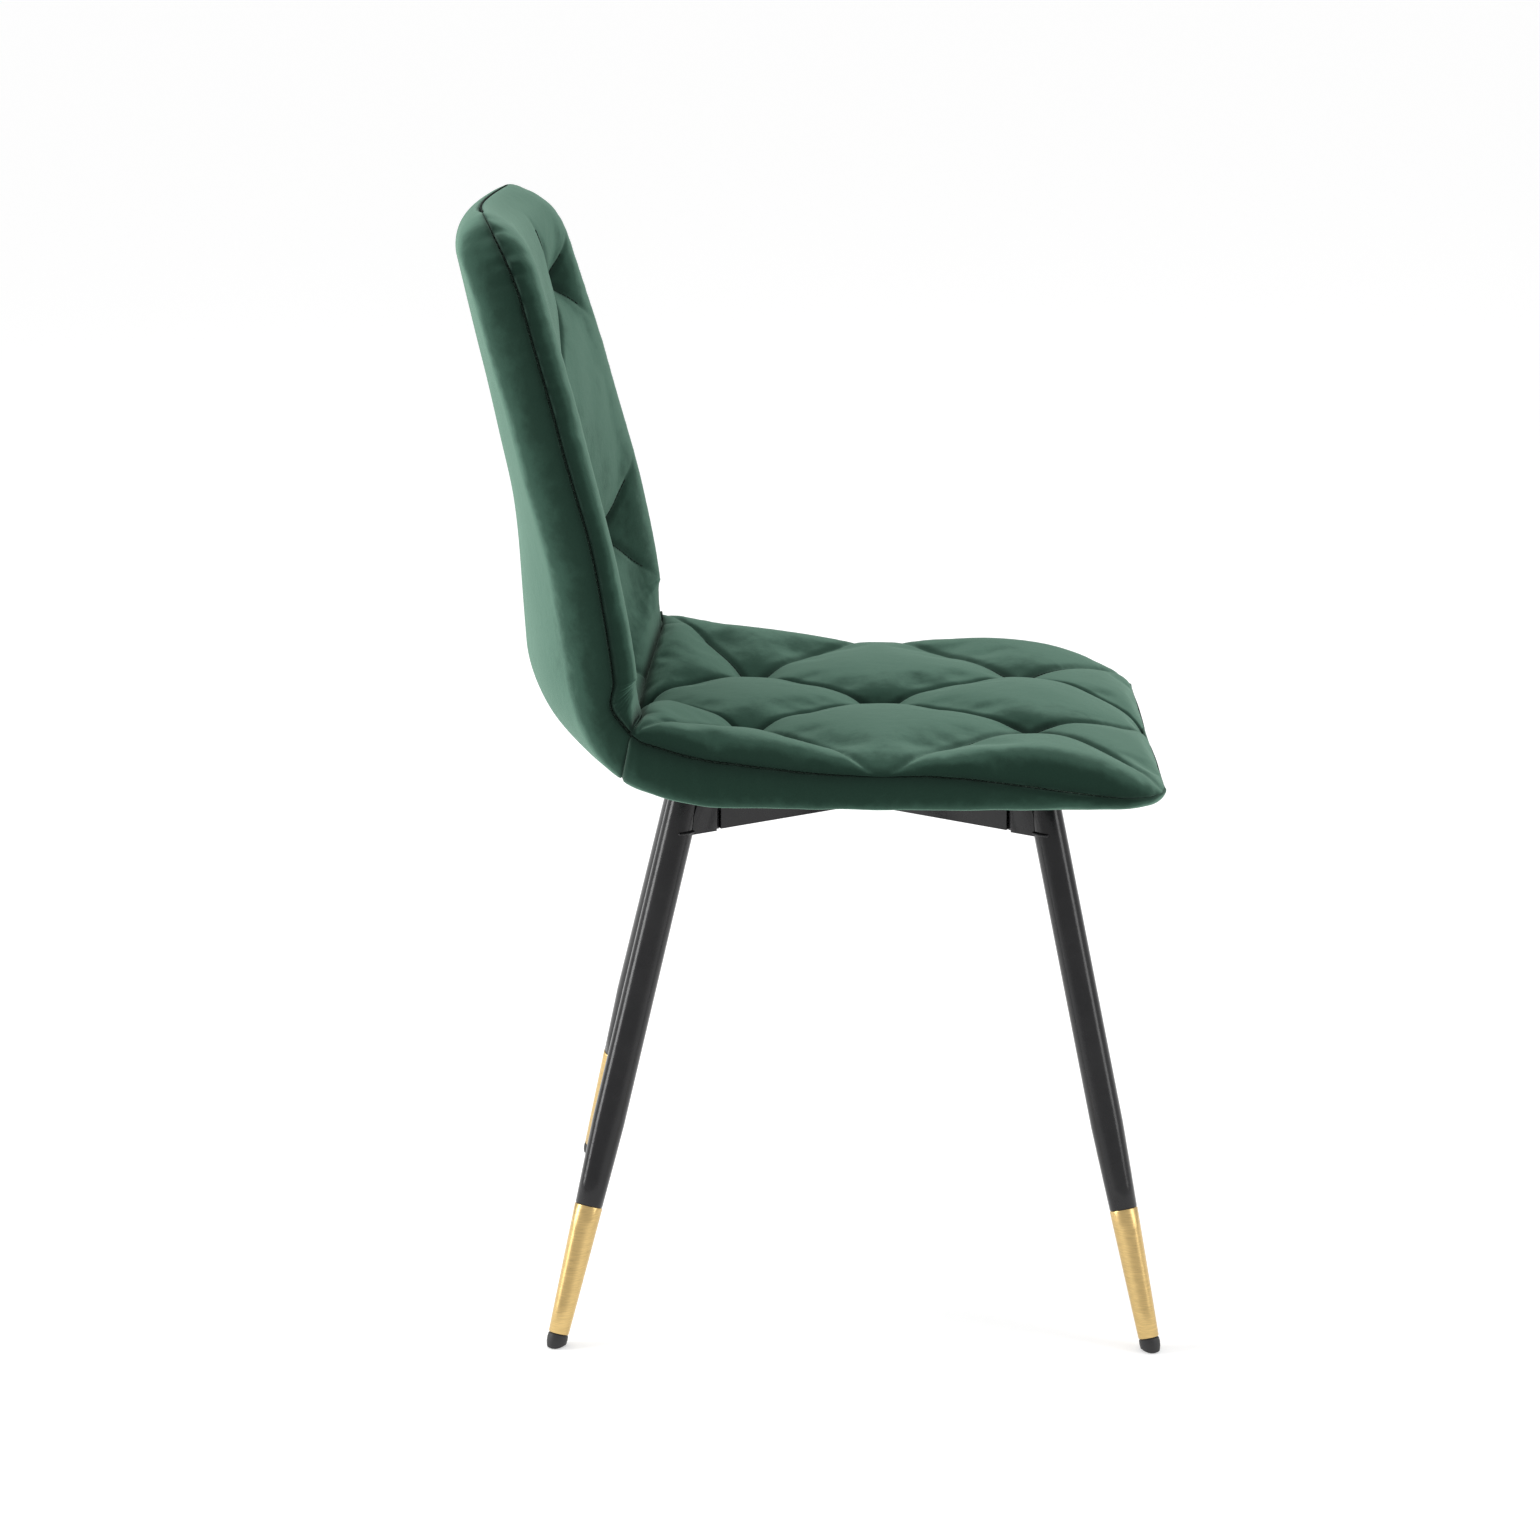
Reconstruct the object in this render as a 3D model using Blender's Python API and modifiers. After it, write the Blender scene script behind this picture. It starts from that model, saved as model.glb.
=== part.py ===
"""Dining chair: an upholstered L-shaped shell on an X frame with four splayed legs.

Metres, +Z up. The sitter faces +X, and +Y is the sitter's left. The origin is on the
floor, below the middle of the chair's bounding box.

The shell follows a spine, the middle line of its plywood seen from the side: s is the
distance along it from the front edge, n is the distance from it towards the sitter.
"""

import math

import bmesh
import bpy
from mathutils import Matrix, Vector

# Spine of the shell, from the front edge to the top of the back.
FRONT_X = 0.2687
PLYWOOD_HEIGHT = 0.4345
SEAT_RUN = 0.3907
HEEL_RADIUS = 0.087
HEEL_TURN = math.radians(86.5)
WAIST_RUN = 0.070
LUMBAR_RUN = 0.130
BACK_LEAN = math.radians(13.5)
BACK_RUN = 0.1400

# Half widths of the padded body, and the corner radii of its two ends.
FRONT_HALF_WIDTH = 0.208
SEAT_HALF_WIDTH = 0.215
HEEL_HALF_WIDTH = 0.204
WAIST_HALF_WIDTH = 0.187
TOP_HALF_WIDTH = 0.157
FRONT_CORNER = 0.050
TOP_CORNER = 0.055

# Hollow of the back, as the forward rise of the sides for each squared metre of half width.
# A lead is how far before the seat's rear end something starts.
HEEL_HOLLOW = 1.4
TOP_HOLLOW = 0.88
HOLLOW_LEAD = 0.0557
HOLLOW_EASE = 0.18

# Padding, measured from the plywood's faces.
SEAT_PADDING = 0.0292
BACK_PADDING = 0.0372
OUTER_PADDING = 0.0064
FRONT_ROLL = 0.110
FRONT_TIP_RISE = 0.006
TOP_ROLL = 0.050
FRONT_NOSE = 0.014
TOP_NOSE = 0.028
SLIT = 0.16
WING_RISE = 0.012
WING_LEAD = 0.1547
OUTER_PADDING_LEAD = 0.0387

# Rounding of the body's sides, above and below the side seam, and the seam's place.
SEAT_SHOULDER = 0.034
BACK_SHOULDER = 0.046
SEAT_SKIRT = 0.009
BACK_SKIRT = 0.026
SEAT_SEAM_RISE = 0.020
BACK_SEAM_RISE = 0.012
TOP_SEAM_RISE = 0.014
FOLD_TURN = math.radians(36)

# Sheets.
PLYWOOD = 0.010
PLYWOOD_INSET = 0.0125
PLYWOOD_FRONT = 0.016
PLYWOOD_TOP = 0.024
OUTER_FOAM_SETBACK = 0.0553
COVER = 0.0015
HEM = 0.030
DUST_CLOTH = 0.0008
DUST_CLOTH_INSET = 0.018
DUST_CLOTH_REAR = 0.034

# Underframe.
BAR_DEPTH = 0.044
BAR_WIDTH = 0.020
BAR_WALL = 0.0015
SADDLE_WIDTH = 0.026
SADDLE_LENGTH = 0.015
SADDLE_WRAP = 0.35
SADDLE_ROUND = 0.005
PLATE_LENGTH = 0.078
PLATE_WIDTH = 0.034
PLATE_THICKNESS = 0.003
PLATE_FROM_LEG = 0.052
BOLT_SPACING = 0.052
BOLT_RADIUS = 0.003
BOLT_HEAD_RADIUS = 0.0055
BOLT_HEAD_HEIGHT = 0.0035
BOLT_FLANGE_RADIUS = 0.0075
BOLT_FLANGE = 0.0012
TEE_NUT_RADIUS = 0.0043
TEE_NUT_FLANGE_RADIUS = 0.0095
TEE_NUT_FLANGE = 0.0015

# Legs. Insets and overhang are from the seat's front edge and its rear end.
FRONT_FOOT_INSET = 0.0035
FRONT_TOP_INSET = 0.0908
REAR_FOOT_OVERHANG = 0.0702
REAR_TOP_INSET = 0.0309
FOOT_HALF_SPREAD = 0.2128
TOP_HALF_SPREAD = 0.0867
LEG_RADIUS = 0.0125
LEG_WALL = 0.0012
TAPER_HEIGHT = 0.165
FOOT_RADIUS = 0.0073
SLEEVE_HEIGHT = 0.104
SLEEVE_WALL = 0.001
GLIDE_HEIGHT = 0.0095
GLIDE_STEM = 0.018
GLIDE_TREAD_RADIUS = 0.0046
GLIDE_DROP = 0.0012

GAP = 0.0003
CLEARANCE = 0.0006
SEAM_GAP = 0.0012
SEAM_OPENING = 0.0007
PAD_CLEARANCE = 0.0019
THINNEST_PAD = 0.0006
STATION_MARGIN = 0.004
CORNER_STEPS = 4
STRETCH_STEPS = 6
LATERAL_STEPS = 5
LEG_STEPS = 20
SMALL_STEPS = 12
ENDS = (("rear", -1), ("front", 1))
HANDS = (("right", -1), ("left", 1))

HEEL_RUN = HEEL_RADIUS * HEEL_TURN
SEAT_REAR_X = FRONT_X - SEAT_RUN
FRONT_FOOT_X = FRONT_X - FRONT_FOOT_INSET
FRONT_TOP_X = FRONT_X - FRONT_TOP_INSET
REAR_FOOT_X = SEAT_REAR_X - REAR_FOOT_OVERHANG
REAR_TOP_X = SEAT_REAR_X + REAR_TOP_INSET
LUMBAR_TURN = HEEL_TURN + BACK_LEAN - math.radians(90)
SPINE_RUNS = (
    (SEAT_RUN, 0.0),
    (HEEL_RUN, 1 / HEEL_RADIUS),
    (WAIST_RUN, 0.0),
    (LUMBAR_RUN, -LUMBAR_TURN / LUMBAR_RUN),
    (BACK_RUN, 0.0),
)
LENGTH = sum(run for run, _ in SPINE_RUNS)
HEEL_END = SEAT_RUN + HEEL_RUN
FOLD = SEAT_RUN + HEEL_RADIUS * FOLD_TURN
HOLLOW_START = SEAT_RUN - HOLLOW_LEAD
WING_START = SEAT_RUN - WING_LEAD
OUTER_PADDING_START = SEAT_RUN - OUTER_PADDING_LEAD
OUTER_FOAM_START = SEAT_RUN + OUTER_FOAM_SETBACK
HEM_DEPTH = PLYWOOD / 2 + GAP + COVER + SEAM_OPENING
UNDERSIDE = PLYWOOD_HEIGHT - HEM_DEPTH - GAP - DUST_CLOTH
PLATE_TOP = UNDERSIDE - GAP
FRAME_TOP = PLATE_TOP - PLATE_THICKNESS - GAP


# Scene, materials and mesh helpers.

def clear_scene():
    for item in list(bpy.data.objects):
        bpy.data.objects.remove(item, do_unlink=True)


def new_collection(name):
    collection = bpy.data.collections.new(name)
    bpy.context.scene.collection.children.link(collection)
    return collection


def new_material(name, colour, roughness, metallic=0.0):
    material = bpy.data.materials.new(name)
    material.use_nodes = True
    shader = material.node_tree.nodes["Principled BSDF"]
    shader.inputs["Base Color"].default_value = (*colour, 1.0)
    shader.inputs["Roughness"].default_value = roughness
    shader.inputs["Metallic"].default_value = metallic
    material.diffuse_color = (*colour, 1.0)
    return material


def add_object(name, mesh, material):
    item = bpy.data.objects.new(name, mesh)
    parts.objects.link(item)
    mesh.materials.append(material)
    mesh.shade_smooth()
    mesh.set_sharp_from_angle(angle=math.radians(35))
    return item


def add_cutter(name, build_mesh):
    data = bmesh.new()
    build_mesh(data)
    mesh = bpy.data.meshes.new(name)
    data.to_mesh(mesh)
    data.free()
    item = bpy.data.objects.new(name, mesh)
    item.hide_render = True
    item.display_type = "WIRE"
    cutters.objects.link(item)
    return item


def cut(item, cutter):
    modifier = item.modifiers.new("Cut " + cutter.name, "BOOLEAN")
    modifier.operation = "DIFFERENCE"
    modifier.object = cutter


def mesh_from(name, data):
    mesh = bpy.data.meshes.new(name)
    data.to_mesh(mesh)
    data.free()
    return mesh


def loft(name, rings, material):
    """A closed solid through rings that all have the same number of points.

    Its faces are split the same way in each solid, so that layers lie face to face.
    """
    data = bmesh.new()
    loops = [[data.verts.new(point) for point in ring] for ring in rings]
    for one, two in zip(loops, loops[1:]):
        for i in range(len(one)):
            j = (i + 1) % len(one)
            data.faces.new((one[i], one[j], two[j]))
            data.faces.new((one[i], two[j], two[i]))
    data.faces.new(loops[0])
    data.faces.new(loops[-1])
    bmesh.ops.recalc_face_normals(data, faces=data.faces)
    return add_object(name, mesh_from(name, data), material)


def sheet(name, rows, material, keep=None):
    """A cover: an open grid of points thickened inwards. keep(i, j) picks its faces."""
    data = bmesh.new()
    grid = [[data.verts.new(point) for point in row] for row in rows]
    for i, (one, two) in enumerate(zip(grid, grid[1:])):
        for j in range(len(one) - 1):
            if keep is None or keep(i, j):
                data.faces.new((one[j], one[j + 1], two[j + 1], two[j]))
    loose = [vert for vert in data.verts if not vert.link_faces]
    bmesh.ops.delete(data, geom=loose, context="VERTS")
    item = add_object(name, mesh_from(name, data), material)
    solidify = item.modifiers.new("Cloth thickness", "SOLIDIFY")
    solidify.thickness = COVER
    solidify.offset = -1
    return item


def turned(name, outline, placement, material, steps):
    """(radius, height) points turned about local Z, closed to a ring if clear of it."""
    data = bmesh.new()
    verts = [data.verts.new((radius, 0, height)) for radius, height in outline]
    for one, two in zip(verts, verts[1:]):
        data.edges.new((one, two))
    if outline[0][0] > 0:
        data.edges.new((verts[-1], verts[0]))
    item = add_object(name, mesh_from(name, data), material)
    item.matrix_world = placement
    screw = item.modifiers.new("Turn", "SCREW")
    screw.steps = steps
    screw.render_steps = steps
    screw.use_merge_vertices = True
    screw.merge_threshold = 0.00001
    return item


def add_box(data, size, placement):
    scale = Matrix.Diagonal((*size, 1))
    bmesh.ops.create_cube(data, size=1, matrix=placement @ scale)


def add_rod(data, radius, bottom, top, placement, sides=SMALL_STEPS):
    """A cylinder along the placement's local Z, between two heights."""
    middle = Matrix.Translation((0, 0, (bottom + top) / 2))
    bmesh.ops.create_cone(
        data,
        cap_ends=True,
        segments=sides,
        radius1=radius,
        radius2=radius,
        depth=top - bottom,
        matrix=placement @ middle,
    )


# The shell's shape.

def smoothstep(value, start, end):
    share = min(max((value - start) / (end - start), 0), 1)
    return share * share * (3 - 2 * share)


def spine(s):
    """Point on the plywood's middle line, and the direction towards the sitter there."""
    x = FRONT_X
    z = PLYWOOD_HEIGHT
    turn = 0.0
    left = s
    for run, bend in SPINE_RUNS:
        step = min(left, run)
        after = turn + bend * step
        if bend:
            x -= (math.sin(after) - math.sin(turn)) / bend
            z += (math.cos(turn) - math.cos(after)) / bend
        else:
            x -= step * math.cos(turn)
            z += step * math.sin(turn)
        turn = after
        left -= step
    return Vector((x, 0, z)), Vector((math.sin(turn), 0, math.cos(turn)))


def through(points, s):
    """A smooth curve through (s, value) points, which are in order of s."""
    for i in range(len(points) - 1):
        if s <= points[i + 1][0] or i == len(points) - 2:
            break
    before = points[max(i - 1, 0)]
    start, end = points[i], points[i + 1]
    after = points[min(i + 2, len(points) - 1)]
    span = end[0] - start[0]
    slope_in = (end[1] - before[1]) / (end[0] - before[0]) * span
    slope_out = (after[1] - start[1]) / (after[0] - start[0]) * span
    t = (s - start[0]) / span
    return (
        (2 * t**3 - 3 * t**2 + 1) * start[1]
        + (t**3 - 2 * t**2 + t) * slope_in
        + (3 * t**2 - 2 * t**3) * end[1]
        + (t**3 - t**2) * slope_out
    )


def corner_loss(distance, radius):
    """How much a round corner takes off the half width, this far from the end."""
    if distance >= radius:
        return 0.0
    return radius - math.sqrt(radius**2 - (radius - distance) ** 2)


def half_width(s):
    widths = (
        (0, FRONT_HALF_WIDTH),
        (SEAT_RUN / 2, SEAT_HALF_WIDTH),
        (FOLD, HEEL_HALF_WIDTH),
        ((HEEL_END + LENGTH) / 2, WAIST_HALF_WIDTH),
        (LENGTH, TOP_HALF_WIDTH),
    )
    loss = corner_loss(s, FRONT_CORNER) + corner_loss(LENGTH - s, TOP_CORNER)
    return through(widths, s) - loss


def back_share(s):
    """0 on the seat, 1 on the back."""
    return smoothstep(s, HOLLOW_START, HEEL_END)


def mixed(seat_value, back_value, s):
    return seat_value + (back_value - seat_value) * back_share(s)


def wing(s):
    """Extra padding towards the seat's rear corners, at the body's edge."""
    rise = smoothstep(s, WING_START, SEAT_RUN) * (1 - smoothstep(s, SEAT_RUN, HEEL_END))
    return WING_RISE * rise


def seam_height(s):
    """n of the seam along the body's sides, round its front edge and over its top."""
    rise = mixed(SEAT_SEAM_RISE, BACK_SEAM_RISE, s) + wing(s)
    rise += (TOP_SEAM_RISE - BACK_SEAM_RISE) * smoothstep(s, LENGTH - TOP_ROLL * 2, LENGTH)
    return rise - SEAT_SEAM_RISE * (1 - smoothstep(s, 0, SEAT_RUN / 2))


def nose_share(s):
    """Share of the body's thickness that is left where its two ends round off."""
    share = min(s / FRONT_NOSE, (LENGTH - s) / TOP_NOSE, 1)
    return max(math.sqrt(1 - (1 - share) ** 2), SLIT)


def crown_height(s):
    """n of the upholstery's front face at the middle of the width."""
    full = mixed(SEAT_PADDING, BACK_PADDING, s) + PLYWOOD / 2
    front = (1 - min(s / FRONT_ROLL, 1)) ** 2 * (full - FRONT_TIP_RISE)
    over = 1 - min((LENGTH - s) / TOP_ROLL, 1)
    top = over**2 * (full - TOP_SEAM_RISE) / 2
    seam = seam_height(s) - wing(s)
    return seam + (full - front - top - seam) * nose_share(s)


def base_height(s):
    """n of the upholstery's rear or bottom face."""
    padding = OUTER_PADDING * smoothstep(s, OUTER_PADDING_START, HEEL_END)
    depth = PLYWOOD / 2 + GAP + COVER + padding
    seam = seam_height(s)
    return seam - (seam + depth) * nose_share(s)


def front_face(s, y, inset=0.0):
    """n of the front or top face at a distance y from the middle."""
    width = half_width(s) - inset
    shoulder = mixed(SEAT_SHOULDER, BACK_SHOULDER, s)
    over = min(max((abs(y) - width + shoulder) / shoulder, 0), 1)
    crown = crown_height(s) + wing(s) * min(abs(y) / width, 1) ** 2
    seam = seam_height(s)
    return seam + (crown - inset - seam) * math.sqrt(1 - over**2)


def rear_face(s, y, inset=0.0):
    """n of the rear or bottom face at a distance y from the middle."""
    width = half_width(s) - inset
    skirt = mixed(SEAT_SKIRT, BACK_SKIRT, s)
    over = min(max((abs(y) - width + skirt) / skirt, 0), 1)
    seam = seam_height(s)
    return seam - (seam - base_height(s) - inset) * math.sqrt(1 - over**2)


def shell_point(s, y, n):
    """The place in the chair of a point given along, across and through the shell."""
    middle, inward = spine(s)
    easing = smoothstep(s, HEEL_END, HEEL_END + HOLLOW_EASE)
    hollow = (HEEL_HOLLOW + (TOP_HOLLOW - HEEL_HOLLOW) * easing) * back_share(s) * y**2
    point = middle + inward * (n + hollow)
    point.y = y
    return point


def across(s, rounding, flat_steps=CORNER_STEPS, round_steps=CORNER_STEPS):
    """Distances from the middle that a row of points takes, from one side to the other."""
    width = half_width(s)
    flat = [(width - rounding) * i / flat_steps for i in range(1, flat_steps + 1)]
    angles = [math.pi / 2 * i / round_steps for i in range(1, round_steps + 1)]
    curved = [width - rounding + rounding * math.sin(angle) for angle in angles]
    half = flat + curved
    return [-y for y in reversed(half)] + [0.0] + half


def all_stations():
    """Places along the spine where every layer of the shell has a row of points."""
    turns = [math.pi / 2 * i / CORNER_STEPS for i in range(CORNER_STEPS + 1)]
    places = [FRONT_CORNER * (1 - math.cos(turn)) for turn in turns]
    for start, end in (
        (FRONT_CORNER, SEAT_RUN),
        (SEAT_RUN, HEEL_END),
        (HEEL_END, LENGTH - TOP_CORNER),
    ):
        step = (end - start) / STRETCH_STEPS
        places += [start + step * i for i in range(1, STRETCH_STEPS + 1)]
    places += [LENGTH - TOP_CORNER * (1 - math.cos(turn)) for turn in reversed(turns[:-1])]
    layer_ends = [
        PLYWOOD_FRONT,
        DUST_CLOTH_INSET,
        SEAT_RUN - DUST_CLOTH_REAR,
        SEAT_RUN - SEAM_GAP,
        SEAT_RUN + SEAM_GAP,
        FOLD - SEAM_GAP,
        FOLD + SEAM_GAP,
        OUTER_FOAM_START,
        LENGTH - PLYWOOD_TOP,
    ]
    clear = [s for s in places if min(abs(s - end) for end in layer_ends) > STATION_MARGIN]
    return sorted(clear + layer_ends)


def stations(start, end):
    return [s for s in all_stations() if start - GAP / 2 < s < end + GAP / 2]


# Upholstered shell.

def inner_ys(s):
    """Where the plywood and the pads on it take their points, so that they stay parallel."""
    width = half_width(s) - PLYWOOD_INSET
    steps = range(-LATERAL_STEPS, LATERAL_STEPS + 1)
    return [width * math.sin(math.pi / 2 * i / LATERAL_STEPS) for i in steps]


def strip_ring(s, ys, low, high):
    """A flat strip's cross section, bent with the shell's hollow."""
    front = [shell_point(s, y, high) for y in ys]
    rear = [shell_point(s, y, low) for y in reversed(ys)]
    return front + rear


def make_plywood():
    places = stations(PLYWOOD_FRONT, LENGTH - PLYWOOD_TOP)
    rings = [strip_ring(s, inner_ys(s), -PLYWOOD / 2, PLYWOOD / 2) for s in places]
    item = loft("plywood_shell", rings, wood)
    cut(item, tee_nut_bores)
    cut(item, tee_nut_seats)


def pad_ring(s, bed, face, side):
    """A pad's cross section: flat on the plywood, shaped by a face of the body."""
    ys = inner_ys(s)[::side]
    flat = [shell_point(s, y, side * bed) for y in ys]
    faces = [face(s, y, COVER + PAD_CLEARANCE) * side for y in ys]
    shaped = [shell_point(s, y, side * max(n, bed + THINNEST_PAD)) for y, n in zip(ys, faces)]
    return flat + shaped[::-1]


def make_pads():
    bed = PLYWOOD / 2 + GAP
    top = LENGTH - PLYWOOD_TOP
    seat = [pad_ring(s, bed, front_face, 1) for s in stations(PLYWOOD_FRONT, FOLD - SEAM_GAP)]
    loft("seat_foam", seat, foam)
    back = [pad_ring(s, bed, front_face, 1) for s in stations(FOLD + SEAM_GAP, top)]
    loft("back_foam", back, foam)
    outer = [pad_ring(s, bed, rear_face, -1) for s in stations(OUTER_FOAM_START, top)]
    loft("outer_back_foam", outer, foam)


def front_row(s):
    ys = across(s, mixed(SEAT_SHOULDER, BACK_SHOULDER, s))
    return [shell_point(s, y, front_face(s, y) + SEAM_OPENING) for y in ys]


def rear_row(s):
    ys = across(s, mixed(SEAT_SKIRT, BACK_SKIRT, s))
    return [shell_point(s, y, rear_face(s, y) - SEAM_OPENING) for y in reversed(ys)]


def make_covers():
    seat = stations(0, FOLD - SEAM_GAP)
    sheet("seat_cover", [front_row(s) for s in seat], velvet)
    back = stations(FOLD + SEAM_GAP, LENGTH)
    sheet("inner_back_cover", [front_row(s) for s in back], velvet)
    outer = stations(SEAT_RUN + SEAM_GAP, LENGTH)
    sheet("outer_back_cover", [rear_row(s) for s in outer], velvet)


def hemmed_row(s):
    """The border's row: round the side, then under the plywood as far as the hem."""
    skirt = mixed(SEAT_SKIRT, BACK_SKIRT, s)
    ys = across(s, skirt, flat_steps=1)
    side = (len(ys) - 1) // 2
    inner = half_width(s) - skirt - HEM
    ys = ys[:side] + [-inner, inner] + ys[-side:]
    return [shell_point(s, y, rear_face(s, y) - SEAM_OPENING) for y in reversed(ys)]


def make_border():
    places = stations(0, SEAT_RUN - SEAM_GAP)
    rows = [hemmed_row(s) for s in places]
    middle = len(rows[0]) // 2 - 1

    def keep(i, j):
        return j != middle or places[i + 1] <= FRONT_CORNER

    sheet("seat_border", rows, velvet, keep)


def make_dust_cloth():
    top = -HEM_DEPTH - GAP
    rings = []
    for s in stations(DUST_CLOTH_INSET, SEAT_RUN - DUST_CLOTH_REAR):
        width = half_width(s) - DUST_CLOTH_INSET
        steps = range(-LATERAL_STEPS, LATERAL_STEPS + 1)
        ys = [width * i / LATERAL_STEPS for i in steps]
        rings.append(strip_ring(s, ys, top - DUST_CLOTH, top))
    item = loft("dust_cloth", rings, lining)
    cut(item, bolt_holes)


# Underframe.

def leg_ends(x_side, y_side):
    """Where a leg's axis meets the floor and the frame's top."""
    foot_x = FRONT_FOOT_X if x_side > 0 else REAR_FOOT_X
    top_x = FRONT_TOP_X if x_side > 0 else REAR_TOP_X
    foot = Vector((foot_x, y_side * FOOT_HALF_SPREAD, 0))
    top = Vector((top_x, y_side * TOP_HALF_SPREAD, FRAME_TOP))
    return foot, top


def leg_placement(foot, top):
    """Local Z runs up the leg's axis from the floor."""
    turn = Vector((0, 0, 1)).rotation_difference(top - foot)
    return Matrix.Translation(foot) @ turn.to_matrix().to_4x4()


def axis_at(foot, top, height):
    return foot.lerp(top, height / top.z)


def bar_placement(x_side, y_side):
    """Origin on the leg's axis at the bar's middle height, local X towards the far leg."""
    height = FRAME_TOP - BAR_DEPTH / 2
    here = axis_at(*leg_ends(x_side, y_side), height)
    there = axis_at(*leg_ends(-x_side, -y_side), height)
    direction = there - here
    angle = math.atan2(direction.y, direction.x)
    place = Matrix.Translation(here) @ Matrix.Rotation(angle, 4, "Z")
    return place, direction.length


def tube_mesh(name, start, end, placement):
    """A rectangular tube along local X."""
    middle = placement @ Matrix.Translation(((start + end) / 2, 0, 0))
    data = bmesh.new()
    add_box(data, (end - start, BAR_WIDTH, BAR_DEPTH), middle)
    item = add_object(name, mesh_from(name, data), black_steel)
    inner = (end - start + 0.02, BAR_WIDTH - 2 * BAR_WALL, BAR_DEPTH - 2 * BAR_WALL)
    cut(item, add_cutter(name + "_bore", lambda bore: add_box(bore, inner, middle)))
    return item


def make_bars():
    """One bar from corner to corner, and two halves that stop against its sides."""
    reach = LEG_RADIUS + SADDLE_LENGTH + GAP * 2
    crossed, length = bar_placement(-1, -1)
    tube_mesh("cross_bar", reach, length - reach, crossed)
    along = crossed.to_3x3() @ Vector((1, 0, 0))
    angle = math.atan2(along.y, along.x)
    for name, placement in (
        ("rear_half_bar", bar_placement(-1, 1)[0]),
        ("front_half_bar", bar_placement(1, -1)[0]),
    ):
        item = tube_mesh(name, reach, length / 2, placement)
        outward = placement.to_3x3() @ Vector((1, 0, 0))
        middle = placement @ Vector((length / 2, 0, 0))
        beside = Matrix.Translation(middle) @ Matrix.Rotation(angle, 4, "Z")
        beyond = Matrix.Translation(outward * BAR_WIDTH) @ beside
        size = (length, BAR_WIDTH + 2 * GAP, BAR_DEPTH * 2)
        cut(item, add_cutter(name + "_trim", lambda trim: add_box(trim, size, beside)))
        cut(item, add_cutter(name + "_end", lambda trim: add_box(trim, size, beyond)))


def make_saddle(x_side, y_side, name, clearance_rod):
    """The pressed block between a leg and its bar, hollowed to seat on the leg."""
    place, _ = bar_placement(x_side, y_side)
    reach = LEG_RADIUS + SADDLE_LENGTH
    middle = place @ Matrix.Translation((reach / 2 - LEG_RADIUS, 0, 0))
    data = bmesh.new()
    add_box(data, (reach + 2 * LEG_RADIUS, SADDLE_WIDTH, BAR_DEPTH), middle)
    direction = middle.to_3x3() @ Vector((1, 0, 0))
    centre = middle.translation
    outer = [
        edge
        for edge in data.edges
        if abs(edge.verts[0].co.z - edge.verts[1].co.z) > BAR_DEPTH / 2
        and (edge.verts[0].co - centre).dot(direction) > 0
    ]
    bmesh.ops.bevel(data, geom=outer, offset=SADDLE_ROUND, segments=4, affect="EDGES")
    item = add_object(name, mesh_from(name, data), black_steel)
    cut(item, clearance_rod)
    foot, top = leg_ends(x_side, y_side)
    up = (top - foot).normalized()
    sideways = up.cross(direction).normalized()
    turn = Matrix((sideways.cross(up), sideways, up)).transposed().to_4x4()
    face = SADDLE_WRAP * LEG_RADIUS
    beyond = Matrix.Translation(place.translation) @ turn @ Matrix.Translation((face - 0.05, 0, 0))
    cut(item, add_cutter(name + "_trim", lambda trim: add_box(trim, (0.1, 0.1, 0.2), beyond)))


def plate_placement(x_side, y_side):
    """Middle of a mounting plate's top face, local Y across the bar."""
    place, _ = bar_placement(x_side, y_side)
    middle = place @ Vector((PLATE_FROM_LEG, 0, 0))
    middle.z = PLATE_TOP
    turned_frame = place.to_3x3().to_4x4()
    return Matrix.Translation(middle) @ turned_frame


def bolt_placements():
    """Each bolt's name and place: local Z up its axis, from its plate's top face."""
    for end, x_side in ENDS:
        for hand, y_side in HANDS:
            for edge, side in (("outer", -1), ("inner", 1)):
                offset = Matrix.Translation((0, side * x_side * y_side * BOLT_SPACING / 2, 0))
                yield f"{end}_{hand}_{edge}", plate_placement(x_side, y_side) @ offset


def make_plates():
    for end, x_side in ENDS:
        for hand, y_side in HANDS:
            middle = Matrix.Translation((0, 0, -PLATE_THICKNESS / 2))
            place = plate_placement(x_side, y_side) @ middle
            data = bmesh.new()
            add_box(data, (PLATE_WIDTH, PLATE_LENGTH, PLATE_THICKNESS), place)
            name = f"mounting_plate_{end}_{hand}"
            item = add_object(name, mesh_from(name, data), black_steel)
            cut(item, bolt_holes)


def cut_bolt_holes(data):
    above = PLYWOOD_HEIGHT - PLYWOOD / 2 - PLATE_TOP - GAP
    for _, place in bolt_placements():
        add_rod(data, BOLT_RADIUS + CLEARANCE, -PLATE_THICKNESS * 2, above, place)


def cut_tee_nut_bores(data):
    top = PLYWOOD_HEIGHT + PLYWOOD / 2 - PLATE_TOP
    for _, place in bolt_placements():
        add_rod(data, TEE_NUT_RADIUS + GAP, top - PLYWOOD * 2, top + PLYWOOD, place)


def cut_tee_nut_seats(data):
    top = PLYWOOD_HEIGHT + PLYWOOD / 2 - PLATE_TOP
    for _, place in bolt_placements():
        seat = top - TEE_NUT_FLANGE - GAP
        add_rod(data, TEE_NUT_FLANGE_RADIUS + GAP, seat, top + PLYWOOD, place)


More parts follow.
